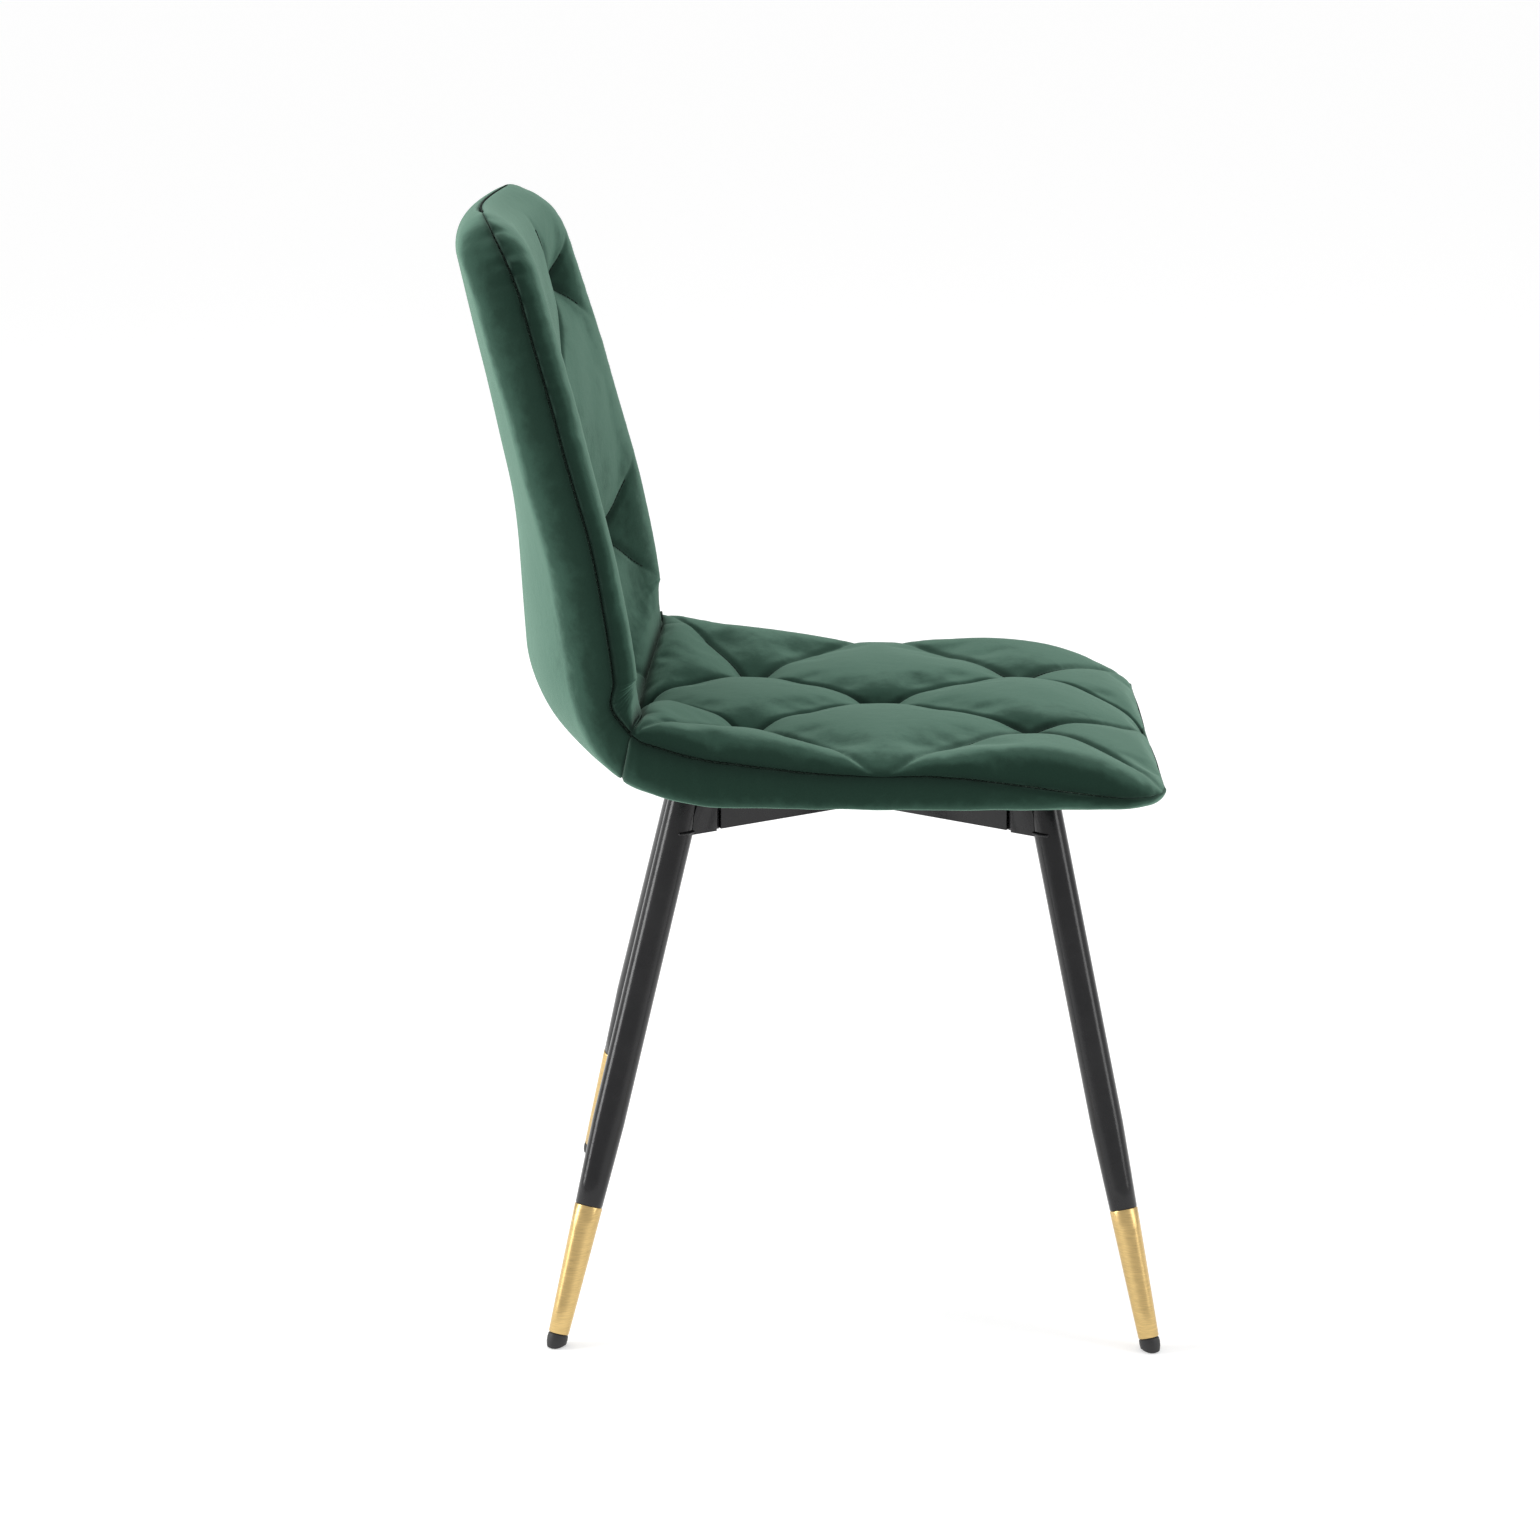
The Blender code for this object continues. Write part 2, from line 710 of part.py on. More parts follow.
def make_fasteners():
    """Flanged bolts through the plates, and the tee nuts that they screw into."""
    top = PLYWOOD_HEIGHT + PLYWOOD / 2 - PLATE_TOP
    bore = BOLT_RADIUS + GAP
    nut = (
        (TEE_NUT_FLANGE_RADIUS, top),
        (TEE_NUT_FLANGE_RADIUS, top - TEE_NUT_FLANGE),
        (TEE_NUT_RADIUS, top - TEE_NUT_FLANGE),
        (TEE_NUT_RADIUS, top - PLYWOOD),
        (bore, top - PLYWOOD),
        (bore, top),
    )
    flange = -PLATE_THICKNESS - GAP
    head = flange - BOLT_FLANGE
    bolt = (
        (0, top - CLEARANCE),
        (BOLT_RADIUS, top - CLEARANCE),
        (BOLT_RADIUS, flange),
        (BOLT_FLANGE_RADIUS, flange),
        (BOLT_FLANGE_RADIUS, head),
        (BOLT_HEAD_RADIUS, head),
        (BOLT_HEAD_RADIUS, head - BOLT_HEAD_HEIGHT),
        (0, head - BOLT_HEAD_HEIGHT),
    )
    for name, place in bolt_placements():
        turned("tee_nut_" + name, nut, place, steel, SMALL_STEPS)
        turned("bolt_" + name, bolt, place, steel, SMALL_STEPS)


# Legs.

def leg_radius(height):
    """Outer radius of a leg, or of the sleeve round its lower end."""
    share = min(height / TAPER_HEIGHT, 1)
    return FOOT_RADIUS + (LEG_RADIUS - FOOT_RADIUS) * share


def make_leg(x_side, y_side, suffix):
    foot, top = leg_ends(x_side, y_side)
    place = leg_placement(foot, top)
    stretch = (top - foot).length / top.z
    length = (top - foot).length + 0.01
    sleeve_top = SLEEVE_HEIGHT * stretch
    sleeve_foot = GLIDE_HEIGHT * stretch
    taper = TAPER_HEIGHT * stretch
    step = SLEEVE_WALL + GAP
    end = sleeve_foot + CLEARANCE
    boundary = leg_radius(SLEEVE_HEIGHT)
    tip = leg_radius(GLIDE_HEIGHT)
    tube = (
        (LEG_RADIUS, length),
        (LEG_RADIUS, taper),
        (boundary, sleeve_top + GAP),
        (boundary - step, sleeve_top + GAP),
        (tip - step, end),
        (tip - step - LEG_WALL, end),
        (boundary - step - LEG_WALL, sleeve_top),
        (LEG_RADIUS - LEG_WALL, taper),
        (LEG_RADIUS - LEG_WALL, length),
    )
    leg = turned("leg_" + suffix, tube, place, black_steel, LEG_STEPS)
    cut(leg, leg_top_cutter)
    sleeve = (
        (boundary, sleeve_top),
        (tip, sleeve_foot),
        (tip - SLEEVE_WALL, sleeve_foot),
        (boundary - SLEEVE_WALL, sleeve_top),
    )
    turned("sleeve_" + suffix, sleeve, place, brass, LEG_STEPS)
    stem = tip - step - LEG_WALL - GAP
    rim = sleeve_foot - GAP
    glide = (
        (0, rim + GLIDE_STEM),
        (stem * 0.8, rim + GLIDE_STEM),
        (stem, rim + GLIDE_STEM * 0.8),
        (stem, rim),
        (tip, rim),
        (tip, GLIDE_DROP + 0.003),
        (tip - 0.0009, GLIDE_DROP + 0.0009),
        (GLIDE_TREAD_RADIUS, GLIDE_DROP),
        (0, GLIDE_DROP),
    )
    foot_piece = turned("glide_" + suffix, glide, place, plastic, SMALL_STEPS)
    cut(foot_piece, floor_cutter)
    rod = add_cutter(
        "leg_clearance_" + suffix,
        lambda data: add_rod(data, LEG_RADIUS + GAP, length * 0.7, length + 0.02, place, 32),
    )
    make_saddle(x_side, y_side, "leg_saddle_" + suffix, rod)


clear_scene()
parts = new_collection("dining_chair")
cutters = new_collection("cutters")

velvet = new_material("Velvet", (0.035, 0.085, 0.060), 0.85)
foam = new_material("Foam", (0.80, 0.76, 0.62), 0.95)
wood = new_material("Plywood", (0.62, 0.44, 0.27), 0.6)
lining = new_material("Dust cloth", (0.03, 0.03, 0.03), 0.95)
black_steel = new_material("Black painted steel", (0.02, 0.02, 0.021), 0.38, 0.2)
steel = new_material("Zinc plated steel", (0.62, 0.62, 0.60), 0.35, 1.0)
brass = new_material("Brass-coloured steel", (0.80, 0.58, 0.25), 0.3, 1.0)
plastic = new_material("Black plastic", (0.02, 0.02, 0.02), 0.5)

tee_nut_bores = add_cutter("tee_nut_bores", cut_tee_nut_bores)
tee_nut_seats = add_cutter("tee_nut_seats", cut_tee_nut_seats)
bolt_holes = add_cutter("bolt_holes", cut_bolt_holes)
above_frame = Matrix.Translation((0, 0, FRAME_TOP + 0.05))
leg_top_cutter = add_cutter("above_frame", lambda data: add_box(data, (1, 1, 0.1), above_frame))
below_floor = Matrix.Translation((0, 0, -0.05))
floor_cutter = add_cutter("below_floor", lambda data: add_box(data, (1, 1, 0.1), below_floor))

make_plywood()
make_pads()
make_covers()
make_border()
make_dust_cloth()
make_bars()
make_plates()
make_fasteners()
for end, x_side in ENDS:
    for hand, y_side in HANDS:
        make_leg(x_side, y_side, f"{end}_{hand}")
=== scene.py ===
"""Dining chair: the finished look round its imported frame.

Metres, +Z up, the sitter faces +X. Along the padded shell, s runs from the seat's front
edge to the top of the back, y runs across, and n is the height over the bent plywood.
"""

import math

import bmesh
import bpy
import numpy as np
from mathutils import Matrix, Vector


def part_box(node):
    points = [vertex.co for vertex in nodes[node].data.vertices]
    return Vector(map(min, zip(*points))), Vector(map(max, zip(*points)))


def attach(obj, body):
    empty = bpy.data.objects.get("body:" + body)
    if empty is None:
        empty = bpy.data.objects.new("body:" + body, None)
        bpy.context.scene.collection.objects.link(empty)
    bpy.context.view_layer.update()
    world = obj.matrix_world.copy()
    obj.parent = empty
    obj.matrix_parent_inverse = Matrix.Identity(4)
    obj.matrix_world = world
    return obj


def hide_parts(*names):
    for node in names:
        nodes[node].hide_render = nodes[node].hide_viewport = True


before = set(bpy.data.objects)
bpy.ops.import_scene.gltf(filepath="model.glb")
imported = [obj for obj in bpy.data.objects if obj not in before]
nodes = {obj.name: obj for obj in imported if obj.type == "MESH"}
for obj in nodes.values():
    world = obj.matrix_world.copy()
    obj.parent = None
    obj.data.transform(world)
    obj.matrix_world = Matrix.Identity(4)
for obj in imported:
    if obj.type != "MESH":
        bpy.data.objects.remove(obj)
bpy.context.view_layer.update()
corners = [f"{end}_{hand}" for end in ("rear", "front") for hand in ("right", "left")]


# Studio. A pale seamless floor, one broad soft light high on each side and a white room,
# with the camera a little above the seat and square to the chair's right side.

def principled(name, colour, roughness, metallic=0.0, **sockets):
    """A material with one shader, whose even values sit on the shader's own sockets."""
    material = bpy.data.materials.new(name)
    material.use_nodes = True
    shader = material.node_tree.nodes["Principled BSDF"]
    shader.inputs["Base Color"].default_value = (*colour, 1)
    shader.inputs["Roughness"].default_value = roughness
    shader.inputs["Metallic"].default_value = metallic
    for socket, value in sockets.items():
        shader.inputs[socket.replace("_", " ")].default_value = value
    material.diffuse_color = (*colour, 1)
    return material


bpy.context.scene.view_settings.view_transform = "Standard"
camera = bpy.data.objects.new("camera", bpy.data.cameras.new("camera"))
bpy.context.scene.collection.objects.link(camera)
bpy.context.scene.camera = camera
camera.location = (0.02176, -2.8528, 1.14163)
camera.rotation_euler = (math.radians(75.4975), 0, math.radians(1.0625))
camera.data.sensor_width = 36
camera.data.lens = 86.5
camera.data.clip_end = 200

floor_data = bmesh.new()
bmesh.ops.create_grid(floor_data, x_segments=4, y_segments=4, size=60)
floor_mesh = bpy.data.meshes.new("floor")
floor_data.to_mesh(floor_mesh)
floor = bpy.data.objects.new("floor", floor_mesh)
bpy.context.scene.collection.objects.link(floor)
floor_mesh.materials.append(principled("Floor", (0.80, 0.80, 0.80), 0.9, Emission_Strength=0.40,
                                       Emission_Color=(1, 1, 1, 1)))

room = bpy.data.worlds.new("room")
bpy.context.scene.world = room
room.use_nodes = True
room.node_tree.nodes["Background"].inputs["Color"].default_value = (1, 1, 1, 1)
room.node_tree.nodes["Background"].inputs["Strength"].default_value = 0.72

for name, place, aim, size, power in (
    ("left_light", (-2.9, -0.3, 1.5), (0, 0, 0.6), (0.9, 2.2), 50),
    ("right_light", (2.6, -0.9, 1.5), (0, 0, 0.45), (0.8, 2.0), 20),
    ("top_light", (-0.9, 1.0, 2.8), (0, 0, 0.5), (1.6, 1.6), 22),
):
    light = bpy.data.lights.new(name, "AREA")
    light.shape = "RECTANGLE"
    light.size, light.size_y = size
    light.energy = power
    lamp = bpy.data.objects.new(name, light)
    bpy.context.scene.collection.objects.link(lamp)
    lamp.location = place
    lamp.rotation_euler = (Vector(aim) - Vector(place)).to_track_quat("-Z", "Y").to_euler()


# Seat pad: soft foam on the bent plywood under a dark green velvet cover. The cover is
# quilted in diamonds, pulled down at each crossing, and sewn to the back along a deep fold.

FRONT_X = 0.2687
PLYWOOD_HEIGHT = 0.4345
PLYWOOD = 0.010
SEAT_RUN = 0.3907
HEEL_RADIUS = 0.087
HEEL_TURN = math.radians(86.5)
BACK_LEAN = math.radians(13.5)
SPINE_RUNS = (
    (SEAT_RUN, 0.0),
    (HEEL_RADIUS * HEEL_TURN, 1 / HEEL_RADIUS),
    (0.070, 0.0),
    (0.130, -(HEEL_TURN + BACK_LEAN - math.pi / 2) / 0.130),
    (0.140, 0.0),
)
LENGTH = sum(run for run, _ in SPINE_RUNS)
HEEL_END = SEAT_RUN + HEEL_RADIUS * HEEL_TURN
WIDTHS = ((0, 0.208), (SEAT_RUN / 2, 0.215), (0.4454, 0.204), (0.692, 0.187), (LENGTH, 0.157))
FRONT_CORNER = 0.044
TOP_CORNER = 0.055


def ease(value, start, end):
    share = np.clip((value - start) / (end - start), 0, 1)
    return share * share * (3 - 2 * share)


def spine(s):
    """x and z on the plywood's middle line, and how far it has turned up from level."""
    x = np.full(s.shape, FRONT_X)
    z = np.full(s.shape, PLYWOOD_HEIGHT)
    turn = np.zeros(s.shape)
    left = np.array(s, float)
    for run, bend in SPINE_RUNS:
        step = np.minimum(left, run)
        after = turn + bend * step
        if bend:
            x = x - (np.sin(after) - np.sin(turn)) / bend
            z = z + (np.cos(turn) - np.cos(after)) / bend
        else:
            x = x - step * np.cos(turn)
            z = z + step * np.sin(turn)
        turn = after
        left = np.maximum(left - step, 0)
    return x, z, turn


def half_width(s):
    """Half the padded body's width: a smooth curve through WIDTHS, less its corners."""
    places = np.array([p for p, _ in WIDTHS])
    widths = np.array([w for _, w in WIDTHS])
    slopes = np.gradient(widths, places, edge_order=1)
    slopes[1:-1] = (widths[2:] - widths[:-2]) / (places[2:] - places[:-2])
    i = np.clip(np.searchsorted(places, s, side="left") - 1, 0, len(places) - 2)
    span = places[i + 1] - places[i]
    t = (s - places[i]) / span
    width = (2 * t**3 - 3 * t**2 + 1) * widths[i] + (t**3 - 2 * t**2 + t) * slopes[i] * span
    width += (3 * t**2 - 2 * t**3) * widths[i + 1] + (t**3 - t**2) * slopes[i + 1] * span
    for distance, radius in ((s, FRONT_CORNER), (LENGTH - s, TOP_CORNER)):
        near = np.clip(distance, 0, radius)
        width -= radius - np.sqrt(radius**2 - (radius - near) ** 2)
    return width


def outline(s):
    """Which way the body's outline faces at its side seam: across, and along s."""
    step = 0.0001
    slope = (half_width(np.minimum(s + step, LENGTH)) - half_width(np.maximum(s - step, 0))) / (2 * step)
    return 1 / np.hypot(1, slope), -slope / np.hypot(1, slope)


def mixed(seat_value, back_value, s):
    return seat_value + (back_value - seat_value) * ease(s, 0.335, HEEL_END)


def wing(s):
    """Extra filling at the seat's rear corners."""
    return 0.012 * ease(s, 0.236, SEAT_RUN) * (1 - ease(s, SEAT_RUN, HEEL_END))


def seam_height(s):
    rise = mixed(0.020, 0.012, s) + wing(s) + 0.002 * ease(s, LENGTH - 0.1, LENGTH)
    rise += 0.005 * ease(s, 0.54, 0.64) * (1 - ease(s, LENGTH - 0.07, LENGTH))
    rise -= 0.005 * np.exp(-(((s - 0.468) / 0.034) ** 2))
    return rise - 0.020 * (1 - ease(s, 0, SEAT_RUN / 2))


GROOVE_DEPTH = 0.0042
GROOVE_HALF_WIDTH = 0.0036


def rounded_edge(distance, width):
    """1 at an edge, falling to 0 at width from it along a quarter circle."""
    return 1 - np.sqrt(1 - (1 - np.clip(distance / width, 0, 1)) ** 2)


def groove(distance):
    """How far a cover is drawn in beside a seam."""
    return GROOVE_DEPTH * rounded_edge(distance, GROOVE_HALF_WIDTH)


def end_share(s, front=0.014, top=0.028):
    """Share of the body's thickness that is left where its two ends round off."""
    share = np.clip(np.minimum(s / front, (LENGTH - s) / top), 0, 1)
    return np.maximum(np.sqrt(1 - (1 - share) ** 2), 0.02)


def crown_height(s):
    full = mixed(0.0292, 0.0372, s) + PLYWOOD / 2
    front = (1 - np.clip(s / 0.110, 0, 1)) ** 2 * (full - 0.006)
    over = (1 - np.clip((LENGTH - s) / 0.050, 0, 1)) ** 2 * (full - 0.014) / 2
    seam = seam_height(s) - wing(s)
    return seam + (full - front - over - seam) * end_share(s)


def shell_point(s, y, n):
    x, z, turn = spine(s)
    easing = ease(s, HEEL_END, HEEL_END + 0.18)
    hollow = (1.4 - 0.52 * easing) * ease(s, 0.335, HEEL_END) * y**2
    return np.stack([x + np.sin(turn) * (n + hollow), y + 0 * x, z + np.cos(turn) * (n + hollow)], -1)


def front_face(s, girth):
    """y and n of the padding's face at a distance round from the middle, 0 to 1 at the seam.

    girth is signed. The face is level to the shoulder, then a quarter of an ellipse.
    """
    shoulder = mixed(0.034, 0.046, s)
    level = half_width(s) - shoulder
    drop = crown_height(s) - seam_height(s)
    arc = np.pi / 4 * (1.5 * (shoulder + drop) - np.sqrt(shoulder * np.abs(drop)))
    round_it = np.abs(girth) * (level + arc)
    turn = np.clip((round_it - level) / arc, 0, 1) * np.pi / 2
    y = np.minimum(round_it, level) + shoulder * np.sin(turn)
    crown = crown_height(s) + wing(s) * np.clip(y / half_width(s), 0, 1) ** 2
    n = seam_height(s) + (crown - seam_height(s)) * np.cos(turn)
    return np.sign(girth) * y, n, round_it, turn


def spread(count, factor):
    """A matrix that takes values at count even places to factor times as many, by a spline."""
    bend = np.zeros((count, count))
    slope = np.zeros((count, count))
    bend[0, 0] = bend[-1, -1] = 1
    for i in range(1, count - 1):
        bend[i, i - 1:i + 2] = 1, 4, 1
        slope[i, i - 1:i + 2] = 6, -12, 6
    curve = np.linalg.solve(bend, slope)
    at = np.linspace(0, count - 1, (count - 1) * factor + 1)
    i = np.minimum(at.astype(int), count - 2)
    t = (at - i)[:, None]
    one = np.eye(count)
    value = (1 - t) * one[i] + t * one[i + 1]
    return value + ((1 - t) ** 3 - (1 - t)) / 6 * curve[i] + (t**3 - t) / 6 * curve[i + 1]


def grid_mesh(name, points, flip=False):
    """An open grid of quads through points[row, column]."""
    rows, columns = points.shape[:2]
    index = np.arange(rows * columns).reshape(rows, columns)
    quads = np.stack([index[:-1, :-1], index[:-1, 1:], index[1:, 1:], index[1:, :-1]], -1).reshape(-1, 4)
    mesh = bpy.data.meshes.new(name)
    mesh.from_pydata(points.reshape(-1, 3), [], (quads[:, ::-1] if flip else quads).tolist())
    return mesh


def add_piece(name, mesh, material, replaced=()):
    """A finished piece of the chair, riding on its one body."""
    piece = bpy.data.objects.new(name, mesh)
    bpy.context.scene.collection.objects.link(piece)
    mesh.materials.clear()
    mesh.materials.append(material)
    mesh.shade_smooth()
    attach(piece, "root")
    if replaced:
        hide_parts(*replaced)
    return piece


def swollen(points, pinned, pressure, limit):
    """The cover blown out between its pinned points by the foam, as a cloth simulation."""
    mesh = grid_mesh("blown_cover", points)
    cover = bpy.data.objects.new("blown_cover", mesh)
    bpy.context.scene.collection.objects.link(cover)
    group = cover.vertex_groups.new(name="pins")
    for strength in np.unique(pinned[pinned > 0]):
        held = np.flatnonzero(pinned.ravel() == strength).tolist()
        group.add(held, float(strength), "REPLACE")
    cloth = cover.modifiers.new("Cloth", "CLOTH")
    cloth.settings.quality = 6
    cloth.settings.mass = 0.25
    cloth.settings.tension_stiffness = 12
    cloth.settings.compression_stiffness = 12
    cloth.settings.shear_stiffness = 6
    cloth.settings.bending_stiffness = 3
    cloth.settings.tension_damping = 8
    cloth.settings.vertex_group_mass = "pins"
    cloth.settings.effector_weights.gravity = 0
    cloth.settings.use_pressure = True
    cloth.settings.uniform_pressure_force = pressure
    cloth.settings.shrink_min = -0.01
    cloth.point_cache.frame_start = 1
    cloth.point_cache.frame_end = 20
    for step in range(1, 21):
        bpy.context.scene.frame_set(step)
    shown = cover.evaluated_get(bpy.context.evaluated_depsgraph_get())
    moved = np.empty(points.size)
    shown.data.vertices.foreach_get("co", moved)
    bpy.context.scene.frame_set(1)
    bpy.data.objects.remove(cover)
    shift = moved.reshape(points.shape) - points
    far = np.linalg.norm(shift, axis=-1, keepdims=True)
    shift *= np.minimum(1, limit / np.maximum(far, 1e-9))
    for _ in range(2):
        padded = np.pad(shift, ((1, 1), (1, 1), (0, 0)), mode="edge")
        around = padded[:-2, 1:-1] + padded[2:, 1:-1] + padded[1:-1, :-2] + padded[1:-1, 2:]
        shift = np.where(pinned[..., None] > 0, shift, 0.5 * shift + 0.125 * around)
    return points + shift


def diamonds(u, v):
    """How full the quilting is at a point, and how near it is to a crossing of its seams.

    Seams run where (u + v) / 2 or (u - v) / 2 is whole. Also the distance to a seam.
    """
    p = np.abs((u + v) / 2 - np.round((u + v) / 2))
    q = np.abs((u - v) / 2 - np.round((u - v) / 2))
    fullness = np.sin(np.pi * p) ** 0.62 * np.sin(np.pi * q) ** 0.62
    crossing = np.exp(-((p**2 + q**2) / 0.16**2))
    return fullness, crossing, np.minimum(p, q)


def fold_line(y):
    """s of the deep fold between the seat and the back."""
    return 0.408 - 0.5 * y**2 + 0.5 * np.maximum(np.abs(y) - 0.16, 0)


def corner_fill(s, y, to_edge):
    """The seat and back rise together towards the two ends of the fold."""
    near = np.exp(-(((s - 0.405) / 0.065) ** 2))
    return 0.014 * ease(np.abs(y), 0.02, 0.15) * near * ease(to_edge, 0, 0.06)


def waves(a, b, seed):
    """Soft uneven ripples, the same each time, between -1 and 1."""
    draw = np.random.default_rng(seed)
    total = np.zeros(np.broadcast(a, b).shape)
    for _ in range(5):
        turn, pace, start = draw.uniform(0, 2 * np.pi), draw.uniform(0.6, 1.6), draw.uniform(0, 6.3)
        total += np.sin(pace * (a * math.cos(turn) + b * math.sin(turn)) * 2 * np.pi + start)
    return total / 5


def seam_gathers(s, y, to_edge, size, seed):
    """Short wrinkles across a side seam, strongest towards the top of the back."""
    stronger = size * (0.5 + 1.3 * ease(s, 0.60, 0.82))
    return stronger * waves(s * 75, y * 22, seed) * np.exp(-to_edge / 0.014) * ease(to_edge, 0, 0.003)


FOLD_DEPTH = 0.015
FOLD_REACH = 0.030
CREASE_DEPTH = 0.0016
RIPPLE = 0.0006
# How far the painted shade beside a side seam reaches.
SHADE_BESIDE_SEAM = 0.0035


def pad_points(s, u, v, edge, node_girth, depth, seed):
    """Points of a quilted cover before the foam swells it, and how much painted shade darkens its velvet
    there.

    u and v count the quilting's crossings along and across, edge is v at the side seam,
    node_girth the distance from the middle to the first crossings, and depth how far the
    seams and the crossings are pulled down.
    """
    level = node_girth / full_girth(s)
    beyond = level + (np.abs(v) - 1) / (edge - 1) * (1 - level)
    girth = np.where(np.abs(v) <= 1, v * level, np.sign(v) * beyond)
    y, n, round_it, turn = front_face(s, girth)
    fullness, crossing, from_seam = diamonds(u, v)
    to_edge = full_girth(s) - round_it
    fade = ease(to_edge, *depth["fade"]) * ease(LENGTH - s, 0.012, 0.075)
    seam_depth = depth["seam"] + (depth["crossing"] - depth["seam"]) * crossing
    if "front" in depth:
        seam_depth = seam_depth * (1 - depth["front"] * (1 - ease(s, 0.05, 0.19)))
    tuck = seam_depth * (1 - fullness) * fade
    from_fold = np.abs(s - fold_line(y))
    fold = FOLD_DEPTH * rounded_edge(from_fold, FOLD_REACH) * ease(to_edge, 0, 0.03)
    crease = CREASE_DEPTH * np.exp(-((from_seam / 0.022) ** 2)) * fade
    ripple = RIPPLE * waves(u * 1.7, v * 1.7, seed) * fade
    drawn = groove(to_edge) + seam_gathers(s, y, to_edge, 0.0017, seed + 1)
    n = n + corner_fill(s, y, to_edge) - tuck - fold - crease + ripple - drawn * np.cos(turn)
    across, along = outline(s)
    y = y - np.sign(girth) * drawn * np.sin(turn) * across
    at_end = groove(crown_height(s) - seam_height(s))
    # Painted shade: the velvet is darkened along the quilting seams (most at their crossings), beside the
    # side and end seams, and in the fold.
    quilted = np.exp(-((from_seam / 0.032) ** 2)) * fade * (0.30 + 0.60 * crossing)
    sewn = np.maximum(np.exp(-to_edge / SHADE_BESIDE_SEAM), at_end / GROOVE_DEPTH)
    painted_seam_shade = np.maximum(np.maximum(quilted, sewn), np.exp(-((from_fold / 0.007) ** 2)))
    back = np.maximum(drawn * np.sin(turn) * np.abs(along), at_end)
    points = shell_point(s + np.where(s < LENGTH / 2, back, -back), y, n)
    return points, to_edge, from_seam, painted_seam_shade


def full_girth(s):
    shoulder = mixed(0.034, 0.046, s)
    drop = crown_height(s) - seam_height(s)
    arc = np.pi / 4 * (1.5 * (shoulder + drop) - np.sqrt(shoulder * np.abs(drop)))
    return half_width(s) - shoulder + arc


STEPS = 20
FINER = 3
SWELL_LIMIT = 0.007
SEATED = 0.0003


def quilted_pad(name, rows, s_of, edge, node_girth, depth, seed, pressure):
    """A closed pad: the quilted face from its grid, and a plain bed that lies on the plywood.

    Also the paths of its quilting, of its two side seams and of the seam at its free end.
    """
    columns = np.linspace(-edge, edge, int(round(edge * STEPS)) * 2 + 1)
    to_middle = (len(columns) - 1) // 2 * FINER

    def face(row_values, column_values):
        u, v = np.meshgrid(row_values, column_values, indexing="ij")
        s = s_of(u, v)
        return pad_points(s, u, v, edge, node_girth, depth, seed), s

    (coarse, to_edge, from_seam, painted_seam_shade), s = face(rows, columns)
    pinned = np.zeros(s.shape)
    pinned[from_seam < 0.3 / STEPS] = 0.9
    pinned[to_edge < 0.004] = 1
    pinned[0] = pinned[-1] = pinned[:, 0] = pinned[:, -1] = 1
    shift = swollen(coarse, pinned, pressure, SWELL_LIMIT) - coarse
    down, along = spread(len(rows), FINER), spread(len(columns), FINER)
    fine_rows, fine_columns = down @ rows, along @ columns
    (points, to_edge, from_seam, painted_seam_shade), s = face(fine_rows, fine_columns)
    points = points + np.einsum("ri,ijk,cj->rck", down, shift, along, optimize=True)
    bed = bed_points(s[:, to_middle], PLYWOOD / 2 + SEATED)
    u, v = np.meshgrid(fine_rows, fine_columns, indexing="ij")
    quilting = []
    for hand in (-1, 1):
        line = (u + hand * v) / 2
        for number in range(-2, 6):
            on_it = (np.abs(line - number) < 1e-4) & (to_edge > 0.058) & (u < 3.5) & (u > -0.1)
            if on_it.sum() > 30:
                quilting.append(points[on_it])
    side_seams = [points[:, 0], points[:, -1]]
    end_seam = points[0 if s[0, to_middle] < 0.1 else -1]
    return closed_pad(name, points, bed, painted_seam_shade), quilting, side_seams, end_seam


BED_INSETS = (0.022, 0.032)
BED_SIDE_INSET = 0.018


def bed_points(rows, n):
    """The pad's plain side, on the plywood and short of its two rounded ends."""
    start, end = rows.min(), rows.max()
    inner = np.interp(rows, (start, end), (max(start, BED_INSETS[0]), min(end, LENGTH - BED_INSETS[1])))
    s, share = np.meshgrid(inner, np.linspace(-1, 1, 9)[1:-1], indexing="ij")
    return shell_point(s, share * (half_width(s) - BED_SIDE_INSET), np.full(s.shape, n))


def paint_seam_shade(mesh, painted_seam_shade):
    """Stores where the velvet gets painted shade along its seams, its quilting and the fold."""
    mesh.attributes.new("painted_seam_shade", "FLOAT", "POINT").data.foreach_set("value", painted_seam_shade)


